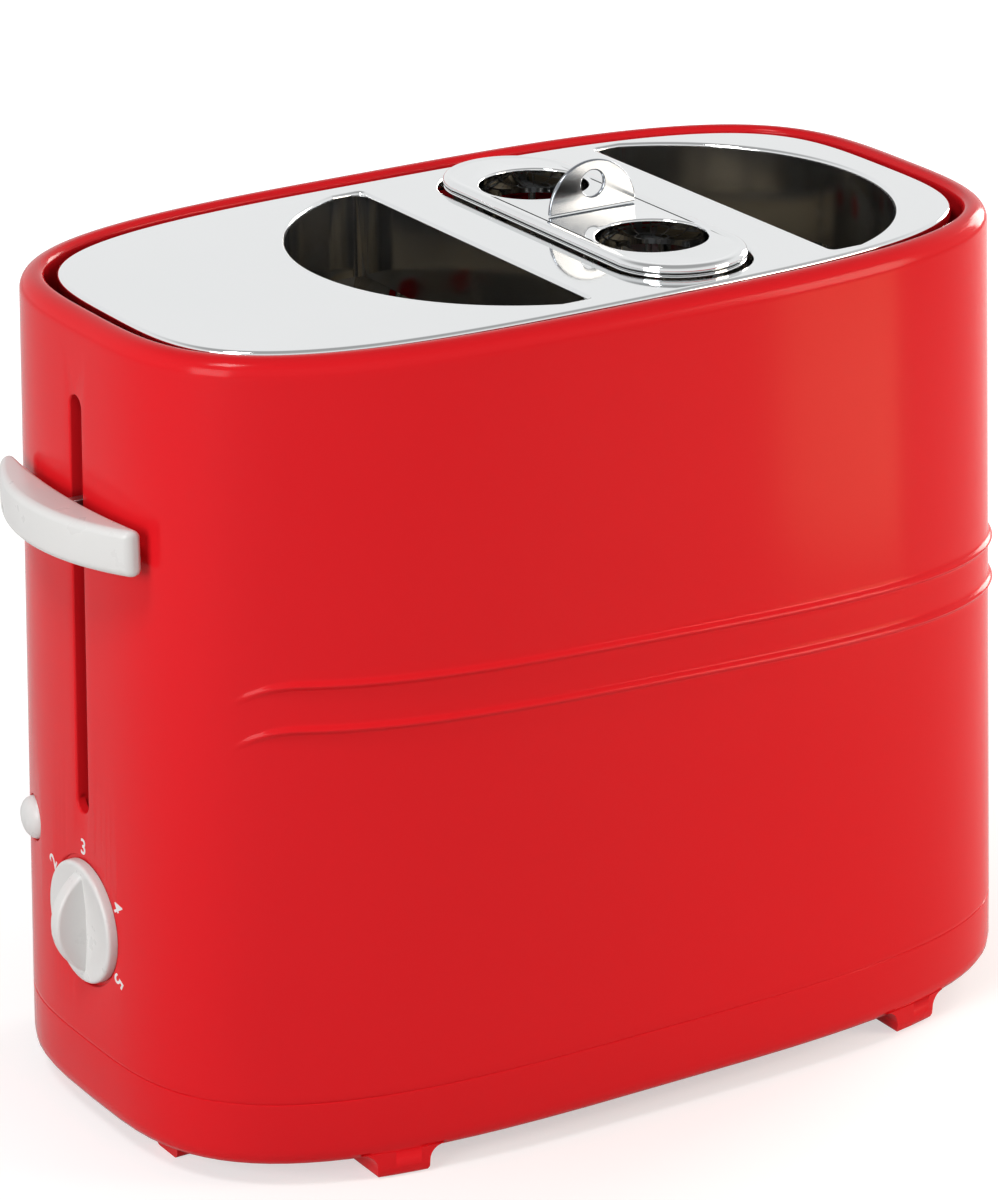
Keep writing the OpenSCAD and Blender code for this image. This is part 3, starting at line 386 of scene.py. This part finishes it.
slot_bottom, slot_top, slot_width = 85.9, 195.7, 6
dial_z, dial_width, dial_depth = 56.5, 34.2, 1.2
button_y, button_z, button_width, button_out = 32.5, 72.6, 11.4, 2.8
dial_face = half_length(dial_z)
shell = cut_away(shell, [
    end_plug("slot", slot_width, slot_top - slot_bottom, 0, (slot_top + slot_bottom) / 2, 0.6, 8),
    end_plug("recess", dial_width, dial_width + 0.001, 0, dial_z, 0.5, dial_depth,
             back=-(dial_face - dial_depth)),
    end_plug("hub_hole", 11, 11.001, 0, dial_z, 0, 10),
    end_plug("button_hole", button_width + 0.8, button_width + 0.801, button_y, button_z, 0.5, 10)])
bmesh.ops.remove_doubles(shell, verts=shell.verts, dist=0.0005)
finished(shell, "red_shell", "housing", red, ["outer_shell"], smooth=30)

# two ribs stiffen the slot's edges from inside
rib_in, rib_out, rib_thick, rib_past = 4.8, 1.2, 1.4, 2
for side in (-1, 1):
    rib = bmesh.new()
    bmesh.ops.create_cube(rib, size=2)
    for v in rib.verts:
        z = slot_top + rib_past if v.co.z > 0 else slot_bottom - rib_past
        v.co = (-half_length(z) + (rib_in if v.co.x > 0 else rib_out),
                side * (slot_width / 2 + (rib_thick if v.co.y > 0 else 0)), z)
    bmesh.ops.recalc_face_normals(rib, faces=rib.faces)
    finished(rib, "slot_rib_" + ("left" if side > 0 else "right"), "housing", red)

# ---- The base ----
# The red moulding under the shell, with four feet on the long sides, small end feet, air slots and posts. A groove
# at the parting line shows where the two mouldings meet.


def softened(node, body, finish, smooth=30, round_off=0.0):
    """A solid of the frame with its loose triangles joined, so that its round faces shade as round."""
    bm = bmesh.new()
    bm.from_mesh(nodes[node].data)
    bmesh.ops.remove_doubles(bm, verts=bm.verts, dist=2e-6)
    bmesh.ops.dissolve_limit(bm, angle_limit=radians(0.4), verts=bm.verts, edges=bm.edges)
    data = bpy.data.meshes.new(node + "_softened")
    bm.to_mesh(data)
    bm.free()
    data.polygons.foreach_set("use_smooth", [True] * len(data.polygons))
    data.set_sharp_from_angle(angle=radians(smooth))
    data.materials.clear()
    data.materials.append(finish.material)
    piece = bpy.data.objects.new(node + "_softened", data)
    bpy.context.scene.collection.objects.link(piece)
    if round_off:
        edge_round = piece.modifiers.new("edges", "BEVEL")
        edge_round.width = round_off * mm
        edge_round.segments = 2
        edge_round.limit_method = "ANGLE"
        edge_round.angle_limit = radians(40)
    if body:
        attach(piece, body)
    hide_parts(node)
    return piece


softened("base", "housing", red)

# ---- The top plate ----
# One sheet of mirror-polished stainless steel, pressed with a folded skirt that drops into the shell's rim. The two
# bun openings and the basket's opening between them have small rolled lips.
mirror_steel = Finish("mirror_steel", Metallic=1.0, Roughness=0.06)
mirror_steel.set("Base Color",
                 mirror_steel.mix(mirror_steel.noise(14, 2), (0.73, 0.745, 0.75), (0.76, 0.77, 0.775)))
mirror_steel.set("Roughness", mirror_steel.noise(60, 5, 0.7) * 0.05 + 0.035)
mirror_steel.bump(mirror_steel.noise(5, 1), 0.12, 0.0012)
plate_top, plate_inset, plate_bend, skirt = 215.3, 9.4, 1.1, 6
chamber_x, well_side, well_end, well_width, well_radius = 24.3, 36.1, 81.6, 111.2, 60.1
basket_width, basket_length, basket_gap = 36.2, 114, 1.2
lip_round, band = 1.0, 0.6


def faces_of(verts):
    return list({f for v in verts for f in v.link_faces})


def bun_face(bm, side, grow, z):
    """One bun opening as a flat face: a disc cut off straight on three sides, with two round corners."""
    before = set(bm.verts)
    new = lambda: [v for v in bm.verts if v not in before]
    bmesh.ops.create_circle(bm, segments=192, radius=well_radius + grow, cap_ends=True)
    bmesh.ops.translate(bm, verts=new(), vec=(chamber_x + side * (well_end - well_radius), 0, z))
    straight = chamber_x + side * (well_side - grow)
    for point, normal in [((straight, 0, 0), (-side, 0, 0)), ((0, well_width / 2 + grow, 0), (0, 1, 0)),
                          ((0, -well_width / 2 - grow, 0), (0, -1, 0))]:
        mine = new()
        geom = mine + list({e for v in mine for e in v.link_edges}) + faces_of(mine)
        bmesh.ops.bisect_plane(bm, geom=geom, dist=1e-5, plane_co=point, plane_no=normal, clear_outer=True)
    corners = [v for v in new() if abs(v.co.x - straight) < 0.01]
    bmesh.ops.bevel(bm, geom=corners, offset=3, segments=10, profile=0.5, affect="VERTICES", material=-1)
    return faces_of(new())[0]


def stadium_ring(bm, width, length, z, segments=128):
    """A loop with two straight sides and two round ends, along Y."""
    ring = bmesh.ops.create_circle(bm, segments=segments, radius=width / 2)["verts"]
    bmesh.ops.rotate(bm, verts=ring, cent=(0, 0, 0), matrix=Matrix.Rotation(pi / segments, 3, "Z"))
    bmesh.ops.translate(bm, verts=ring, vec=(chamber_x, 0, z))
    for v in ring:
        v.co.y += (length - width) / 2 * (1 if v.co.y > 0 else -1)
    return ring


def roll_in(bm, face, roll, deep, lift=0.0):
    """Rolls a flat face's edge inwards and down by a quarter round, then straight down, and leaves it open."""
    level_z = face.verts[0].co.z
    others = set(bm.edges) - set(face.edges)
    if face.normal.z < 0:
        face.normal_flip()
    bmesh.ops.inset_region(bm, faces=[face], thickness=band, depth=lift, use_even_offset=True,
                           use_boundary=True)
    for i in range(6):
        a, b = pi / 12 * i, pi / 12 * (i + 1)
        bmesh.ops.inset_region(bm, faces=[face], thickness=roll * (sin(b) - sin(a)),
                               depth=-roll * (cos(a) - cos(b)), use_even_offset=True, use_boundary=True)
    if deep:
        end = bmesh.ops.extrude_discrete_faces(bm, faces=[face])["faces"][0]
        bmesh.ops.translate(bm, verts=end.verts, vec=(0, 0, -deep))
        face = end
    bmesh.ops.delete(bm, geom=[face], context="FACES_ONLY")
    return [e for e in bm.edges if e.is_boundary and e not in others
            and all(abs(v.co.z - level_z) < 1e-4 for v in e.verts)]


def fill_sheet(bm, edges):
    bmesh.ops.triangle_fill(bm, use_beauty=True, use_dissolve=True, edges=edges, normal=(0, 0, 1))
    bmesh.ops.remove_doubles(bm, verts=bm.verts, dist=1e-4)
    bmesh.ops.recalc_face_normals(bm, faces=bm.faces)
    top = max(bm.faces, key=lambda f: f.calc_center_median().z)
    if top.normal.z < 0:
        bmesh.ops.reverse_faces(bm, faces=bm.faces)


def thickened(piece, thickness):
    sheet = piece.modifiers.new("sheet", "SOLIDIFY")
    sheet.thickness = thickness * mm
    sheet.offset = -1
    sheet.use_even_offset = False
    return piece


plate = bmesh.new()
edge = start_ring(plate, 256, plate_top - skirt, plate_inset)
edge = next_ring(plate, edge, level(plate_top - plate_bend - 0.6, plate_inset))
for i in range(0, 9):
    a = pi / 16 * i
    edge = next_ring(plate, edge,
                     level(plate_top - plate_bend * (1 - sin(a)), plate_inset + plate_bend * (1 - cos(a))))
edge = next_ring(plate, edge, level(plate_top, plate_inset + plate_bend + band))
for side in (-1, 1):
    edge += roll_in(plate, bun_face(plate, side, lip_round + band, plate_top), lip_round, 0)
wide = 2 * (basket_gap + lip_round + band)
ring = stadium_ring(plate, basket_width + wide, basket_length + wide, plate_top)
opening = bmesh.ops.contextual_create(plate, geom=list({e for v in ring for e in v.link_edges}))["faces"][0]
edge += roll_in(plate, opening, lip_round, 1.2)
fill_sheet(plate, edge)
thickened(finished(plate, "polished_plate", "housing", mirror_steel, ["top_plate"],
                   smooth=35), 0.7)

# ---- The bun collars ----
# A folded band of the same steel hangs under each bun opening and keeps the bun's edge off the wires.
collar_steel = Finish("collar_steel", Metallic=1.0, Roughness=0.14)
collar_steel.set("Base Color",
                 collar_steel.mix(collar_steel.noise(22, 3), (0.60, 0.605, 0.61), (0.68, 0.68, 0.685)))
collar_steel.set("Roughness", collar_steel.noise(90, 4) * 0.1 + 0.08)
softened("bun_collar_left", "housing", collar_steel, smooth=20)
softened("bun_collar_right", "housing", collar_steel, smooth=20)

# ---- The basket ----
# A long pressed rim with a rolled edge and two round lipped holes, an upright half-round tab with a finger hole,
# and two wire cages welded under it. It lifts straight out.
basket_top, rim_round_off, dog_hole, dog_pitch, dog_lip = 218.3, 1.5, 28, 56, 7
rim = bmesh.new()
ring = stadium_ring(rim, basket_width - 0.6, basket_length - 0.6, plate_top + 0.25)
edge = list({e for v in ring for e in v.link_edges})


def rim_step(edges, z, inset):
    """The basket's edge goes on to its next place, moved in evenly from the full width."""
    grown = bmesh.ops.extrude_edge_only(rim, edges=edges)["geom"]
    for v in (g for g in grown if isinstance(g, bmesh.types.BMVert)):
        middle = (basket_length - basket_width) / 2 * (1 if v.co.y > 0 else -1)
        arm = Vector((v.co.x - chamber_x, v.co.y - middle)).normalized() * (basket_width / 2 - inset)
        v.co = (chamber_x + arm.x, middle + arm.y, z)
    return [g for g in grown if isinstance(g, bmesh.types.BMEdge)]


for i in range(-6, 9):
    a = pi / 16 * i
    edge = rim_step(edge, basket_top - rim_round_off * (1 - sin(a)), rim_round_off * (1 - cos(a)))
edge = rim_step(edge, basket_top - 0.12, rim_round_off + 0.8)
edge = rim_step(edge, basket_top - 0.25, rim_round_off + 1.4)
edge = rim_step(edge, basket_top - 0.25, rim_round_off + 1.9)
for side in (-1, 1):
    hole = bmesh.ops.create_circle(rim, segments=96, radius=dog_hole / 2 + 0.9 + band, cap_ends=True)["verts"]
    bmesh.ops.translate(rim, verts=hole, vec=(chamber_x, side * dog_pitch / 2, basket_top - 0.25))
    edge += roll_in(rim, faces_of(hole)[0], 0.6, dog_lip - 1, lift=0.1)
fill_sheet(rim, edge)
thickened(finished(rim, "basket_top", "basket", mirror_steel, ["basket_rim"], smooth=35),
          0.5)
# painted reflection: the tab's polished steel gets a much darker colour than the rim's, standing in for the dark
# surroundings it mirrors
tab_steel_painted_dark = Finish("tab_steel_painted_dark", Metallic=1.0, Roughness=0.16)
tab_steel_painted_dark.set("Base Color", tab_steel_painted_dark.mix(tab_steel_painted_dark.noise(40, 3), (0.22, 0.235, 0.26), (0.32, 0.335, 0.36)))
tab_steel_painted_dark.set("Roughness", tab_steel_painted_dark.noise(160, 4) * 0.12 + 0.1)
softened("basket_handle", "basket", tab_steel_painted_dark, smooth=40, round_off=0.35)

bright_wire = Finish("bright_wire", Metallic=1.0, Roughness=0.25)
bright_wire.set("Base Color",
                bright_wire.mix(bright_wire.noise(120, 3), (0.48, 0.48, 0.47), (0.62, 0.615, 0.60)))
bright_wire.set("Roughness", bright_wire.noise(300, 3) * 0.2 + 0.15)
softened("basket_cage", "basket", bright_wire)

# ---- The bun guards ----
# Bright steel wires, spot welded to hoops, that hold each bun away from the heating ribbons.
softened("bun_guard_left", "housing", bright_wire)
softened("bun_guard_right", "housing", bright_wire)

# ---- The lever ----
# A white moulded crescent, pushed on to the steel arm that comes out through the slot. Its back follows the
# shell's end, and all its edges are round.
white = Finish("white_moulding", Roughness=0.28, Specular_IOR_Level=0.4)
white.set("Base Color", white.mix(white.noise(35, 3), (0.70, 0.695, 0.685), (0.735, 0.73, 0.725)))
white.set("Roughness", white.noise(180, 3) * 0.1 + 0.24)
white.bump(white.noise(700, 2), 0.02, 0.0001)
lever_z, lever_height, lever_half = 165.3, 12, 34
lever_back, lever_tip = 128.89, 139.99
lever_front_round, lever_back_round, lever_soft = 62, 205, 2.2
lever = bmesh.new()
deep_share, up_share = lever.verts.layers.float.new("deep"), lever.verts.layers.float.new("up")
for v in bmesh.ops.create_circle(lever, segments=64, radius=1)["verts"]:
    v[deep_share], v[up_share] = v.co.x, v.co.y


def lever_place(v, y, end_in):
    """A corner of the lever's section at one place along it; end_in shrinks the section near the ends."""
    front = -lever_tip + lever_front_round - sqrt(lever_front_round ** 2 - y * y)
    back = -lever_back + lever_back_round - sqrt(lever_back_round ** 2 - y * y)
    half_deep, half_up = (back - front) / 2, lever_height / 2
    soft = min(lever_soft, half_deep)
    corner = soft - min(end_in, soft * 0.98)
    x = (half_deep - soft) * (1 if v[deep_share] > 0 else -1) + v[deep_share] * corner
    z = (half_up - soft) * (1 if v[up_share] > 0 else -1) + v[up_share] * corner
    v.co = ((front + back) / 2 + x, y, lever_z + z)


lever_end = 1.5
stations = [(-lever_half + lever_end * (1 - cos(pi / 16 * i)), lever_end * (1 - sin(pi / 16 * i)))
            for i in range(9)]
stations += [(-lever_half + lever_end + (2 * lever_half - 2 * lever_end) * i / 48, 0) for i in range(1, 48)]
stations += [(-y, end_in) for y, end_in in reversed(stations[:9])]
for v in lever.verts:
    lever_place(v, *stations[0])
edge = first = list(lever.edges)
for y, end_in in stations[1:]:
    grown = bmesh.ops.extrude_edge_only(lever, edges=edge)["geom"]
    for v in (g for g in grown if isinstance(g, bmesh.types.BMVert)):
        lever_place(v, y, end_in)
    edge = [g for g in grown if isinstance(g, bmesh.types.BMEdge)]
bmesh.ops.contextual_create(lever, geom=first)
bmesh.ops.contextual_create(lever, geom=edge)
bmesh.ops.recalc_face_normals(lever, faces=lever.faces)
finished(lever, "white_lever", "carriage", white, ["lever_cap"], smooth=45)

zinc = Finish("zinc_sheet", Metallic=1.0, Roughness=0.35)
grain = zinc.add("TexVoronoi", {"feature": "F1"}, {"Vector": zinc.place(), "Scale": 160}, out="Color")
shade = zinc.add("RGBToBW", None, {"Color": grain})
zinc.set("Base Color", zinc.mix(shade, (0.42, 0.43, 0.44), (0.58, 0.59, 0.60)))
zinc.set("Roughness", shade * 0.18 + 0.26)
zinc.bump(zinc.noise(60, 3), 0.1, 0.0004)
softened("lever_arm", "carriage", zinc, round_off=0.15)

# ---- The browning knob and its numbers ----
# A white dished disc with a half-moon grip, pushed on to the potentiometer's steel shaft, in a round recess. The
# numbers are pad-printed in white on the shell round it.
knob_z, knob_width, knob_seat, fin_thick, fin_out = 56.5, 32.2, 1.2, 4.2, 8.8
knob_face = half_length(knob_z)
seat = -knob_face + knob_seat - 0.3
knob = bmesh.new()
profile = [(0, -1.5), (4, -1.58), (8, -1.82), (12, -2.22), (14, -2.5), (14.8, -2.64), (15.3, -2.66),
           (15.75, -2.5), (16, -2.15),
           (knob_width / 2, -1.7), (knob_width / 2, 0), (4.7, 0), (4.7, 7), (0, 7)]
dots = [knob.verts.new((seat + x, 0, knob_z + r)) for r, x in profile]
line = [knob.edges.new(pair) for pair in zip(dots, dots[1:])]
bmesh.ops.spin(knob, geom=dots + line, cent=(seat, 0, knob_z), axis=(1, 0, 0), angle=2 * pi, steps=128,
               use_merge=True)
bmesh.ops.remove_doubles(knob, verts=knob.verts, dist=0.001)
bmesh.ops.recalc_face_normals(knob, faces=knob.faces)
finished(knob, "knob_disc", "knob", white, ["control_knob"], smooth=40)
fin = bmesh.new()
fin_radius = 0.485 * knob_width
bmesh.ops.create_circle(fin, segments=128, radius=fin_radius, cap_ends=True)
bmesh.ops.rotate(fin, verts=fin.verts, cent=(0, 0, 0), matrix=Matrix.Rotation(pi / 2, 3, "X"))
bmesh.ops.translate(fin, verts=fin.verts, vec=(-knob_face - fin_out + fin_radius, -fin_thick / 2, knob_z))
bmesh.ops.bisect_plane(fin, geom=fin.verts[:] + fin.edges[:] + fin.faces[:], dist=1e-5,
                       plane_co=(seat - 1, 0, 0), plane_no=(1, 0, 0),
                       clear_outer=True)
side_face = fin.faces[:]
grown = bmesh.ops.extrude_face_region(fin, geom=side_face)["geom"]
bmesh.ops.translate(fin, verts=[g for g in grown if isinstance(g, bmesh.types.BMVert)], vec=(0, fin_thick, 0))
bmesh.ops.recalc_face_normals(fin, faces=fin.faces)
arc_edges = [e for e in fin.edges if abs(e.verts[0].co.y - e.verts[1].co.y) < 0.01
             and min(v.co.x for v in e.verts) < seat - 1.01]
bmesh.ops.bevel(fin, geom=arc_edges, offset=0.9, segments=5, profile=0.5, affect="EDGES", material=-1)
finished(fin, "knob_grip", "knob", white, smooth=35)

ink = Finish("white_ink", Roughness=0.4)
ink.set("Base Color", ink.mix(ink.noise(900, 2), (0.74, 0.72, 0.72), (0.82, 0.80, 0.80)))
number_ring, number_tall = 20.2, 4.1
for figure, angle in zip("12345", (-120, -60, 0, 60, 120)):
    letter = bpy.data.curves.new("figure_" + figure, "FONT")
    letter.body = figure
    letter.align_x = "CENTER"
    letter.align_y = "CENTER"
    letter.size = number_tall / 0.7
    letter.offset = 0.085
    holder = bpy.data.objects.new("holder", letter)
    bpy.context.scene.collection.objects.link(holder)
    drawn = bmesh.new()
    drawn.from_mesh(holder.evaluated_get(bpy.context.evaluated_depsgraph_get()).to_mesh())
    bpy.data.objects.remove(holder)
    across = [v.co.x for v in drawn.verts]
    upward = [v.co.y for v in drawn.verts]
    bmesh.ops.translate(drawn, verts=drawn.verts,
                        vec=(-(min(across) + max(across)) / 2, -(min(upward) + max(upward)) / 2 + number_ring,
                             0))
    bmesh.ops.rotate(drawn, verts=drawn.verts, cent=(0, 0, 0),
                     matrix=Matrix.Rotation(-radians(angle), 3, "Z"))
    grown = bmesh.ops.extrude_face_region(drawn, geom=drawn.faces[:])["geom"]
    raised = {g for g in grown if isinstance(g, bmesh.types.BMVert)}
    for v in drawn.verts:
        y, z = -v.co.x, knob_z + v.co.y
        v.co = (-(end_face(y, z) + (0.07 if v in raised else -0.03)), y, z)
    bmesh.ops.recalc_face_normals(drawn, faces=drawn.faces)
    finished(drawn, "number_" + figure, "housing", ink)
softened("knob_shaft", "knob", bright_wire, round_off=0.3)

# ---- The cancel button ----
# A white domed button that sits in a round hole beside the dial and presses a small switch on the circuit board.
button_tip = end_face(button_y, button_z) + button_out
flange_grow, flange_thick, stem_radius, stem_end = 1.5, 1.2, 2.5, -114.95
button = bmesh.new()
radius = button_width / 2
profile = [(0, -button_tip), (radius * 0.3, -button_tip + 0.13), (radius * 0.55, -button_tip + 0.5),
           (radius * 0.76, -button_tip + 1.05),
           (radius * 0.9, -button_tip + 1.75), (radius * 0.975, -button_tip + 2.5),
           (radius, -button_tip + 3.3)]
flange_x = -end_face(button_y + radius + flange_grow, button_z, wall) + 0.3
profile += [(radius, flange_x), (radius + flange_grow, flange_x),
            (radius + flange_grow, flange_x + flange_thick),
            (stem_radius, flange_x + flange_thick), (stem_radius, stem_end), (0, stem_end)]
dots = [button.verts.new((x, button_y, button_z + r)) for r, x in profile]
line = [button.edges.new(pair) for pair in zip(dots, dots[1:])]
bmesh.ops.spin(button, geom=dots + line, cent=(0, button_y, button_z), axis=(1, 0, 0), angle=2 * pi, steps=96,
               use_merge=True)
bmesh.ops.remove_doubles(button, verts=button.verts, dist=0.001)
bmesh.ops.recalc_face_normals(button, faces=button.faces)
finished(button, "white_button", "button", white, ["cancel_button"], smooth=40)
black = Finish("black_moulding", Roughness=0.45, Specular_IOR_Level=0.4)
black.set("Base Color", black.mix(black.noise(60, 3), (0.012, 0.012, 0.013), (0.028, 0.028, 0.029)))
black.set("Roughness", black.noise(220, 3) * 0.15 + 0.38)
black.bump(black.noise(1400, 2), 0.15, 0.0002)
softened("switch_plunger", "button", black)

# ---- The crumb tray ----
# A shallow folded tray of zinc-coated sheet that slides out of the back on the base's rails, with a grip tongue.
softened("crumb_tray", "tray", zinc)

# ---- The cord gland ----
# A black moulded bush in the back of the base, where the mains lead goes in.
softened("cord_gland", "housing", black, round_off=0.35)

# ---- The chassis ----
# Four walls of zinc-coated sheet steel round the toasting chamber, folded and screwed together, with channels that
# hold the heater cards and a bracket that holds the guide rods' tops.
for node in ("chassis_front", "chassis_back", "chassis_control_side", "chassis_far_side", "heater_channels",
             "rod_bracket"):
    softened(node, "housing", zinc)

# ---- The heater cards ----
# Sheets of mica, two for each bun, wound with flat resistance ribbon that has gone blue and brown with heat.
mica = Finish("mica", Roughness=0.35)
flakes = mica.add("TexVoronoi", {"feature": "F1"}, {"Vector": mica.place(), "Scale": 220}, out="Color")
mica.set("Base Color", mica.mix(mica.noise(45, 5, 0.7), (0.50, 0.40, 0.25), (0.66, 0.58, 0.43)))
mica.set("Roughness", mica.add("RGBToBW", None, {"Color": flakes}) * 0.25 + 0.2)
mica.bump(mica.noise(150, 4, 0.7), 0.2, 0.0003)
ribbon = Finish("heated_ribbon", Metallic=1.0, Roughness=0.35)
tint = ribbon.noise(30, 3)
ribbon.set("Base Color",
           ribbon.add("ValToRGB",
                      {"stops": [(0.3, (0.20, 0.15, 0.13)), (0.5, (0.42, 0.36, 0.33)),
                                 (0.72, (0.24, 0.25, 0.30))]},
                                    {"Fac": tint}))
ribbon.set("Roughness", ribbon.noise(200, 2) * 0.2 + 0.25)
for part in ("left", "mid_left", "mid_right", "right"):
    softened("heater_card_" + part, "housing", mica)
    softened("heating_ribbon_" + part, "housing", ribbon)

# ---- The carriage ----
# A folded frame and plate of zinc-coated sheet with a rack under each bun and a shelf under the basket. It slides
# on two rods, which have bushes, and a long spring pushes it up.
for node in ("carriage_frame", "carriage_plate", "bun_rack_left", "bun_rack_right", "basket_shelf",
             "armature"):
    softened(node, "carriage", zinc, round_off=0.1)
softened("rod_bushes", "carriage", black, round_off=0.3)
for node in ("guide_rod_front", "guide_rod_back"):
    softened(node, "housing", bright_wire, round_off=0.3)

spring = softened("return_spring", None, bright_wire)
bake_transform(spring, "housing", "carriage", start=(0, 0, 0.0215), end=(0, 0, 0.1475))

# ---- The latch magnet ----
# A stack of steel plates with a copper winding on its middle leg. It holds the carriage down while it has current.
copper = Finish("copper_winding", Metallic=1.0, Roughness=0.3)
turns = copper.add("TexWave", {"wave_type": "BANDS", "bands_direction": "Z", "wave_profile": "SIN"},
                   {"Vector": copper.place(), "Scale": 420, "Distortion": 0.6})
copper.set("Base Color", copper.mix(turns, (0.45, 0.15, 0.06), (0.80, 0.34, 0.17)))
copper.set("Roughness", turns * 0.1 + 0.22)
copper.bump(turns, 0.5, 0.0002)
softened("magnet_core", "housing", zinc, round_off=0.2)
softened("magnet_coil", "housing", copper, round_off=0.4)

# ---- The circuit board ----
# A green board on two posts of the base, with its parts, the knob's potentiometer and the cancel switch on it.
board = Finish("circuit_board", Roughness=0.4)
track = board.add("TexBrick", {"offset": 0.5},
                  {"Vector": board.place(), "Scale": 90, "Mortar Size": 0.012,
                   "Color1": (0.012, 0.13, 0.05, 1),
                                              "Color2": (0.014, 0.15, 0.055, 1),
                                              "Mortar": (0.03, 0.26, 0.10, 1)})
board.set("Base Color", track)
board.set("Roughness", board.noise(160, 3) * 0.15 + 0.3)
pale = Finish("pale_moulding", Roughness=0.45)
pale.set("Base Color", pale.mix(pale.noise(50, 3), (0.62, 0.58, 0.48), (0.72, 0.69, 0.60)))
pale.set("Roughness", pale.noise(240, 2) * 0.12 + 0.38)
softened("circuit_board", "housing", board)
softened("board_parts", "housing", black, round_off=0.25)
softened("potentiometer", "housing", zinc, round_off=0.3)
softened("cancel_switch", "housing", black, round_off=0.2)
softened("terminal_block", "housing", pale, round_off=0.3)

# ---- The screws ----
# Steel screws: four from below into the shell's bosses, and the ones that hold the chassis to the base's posts.
for node in ("shell_screws", "chassis_screws"):
    softened(node, "housing", bright_wire, round_off=0.2)
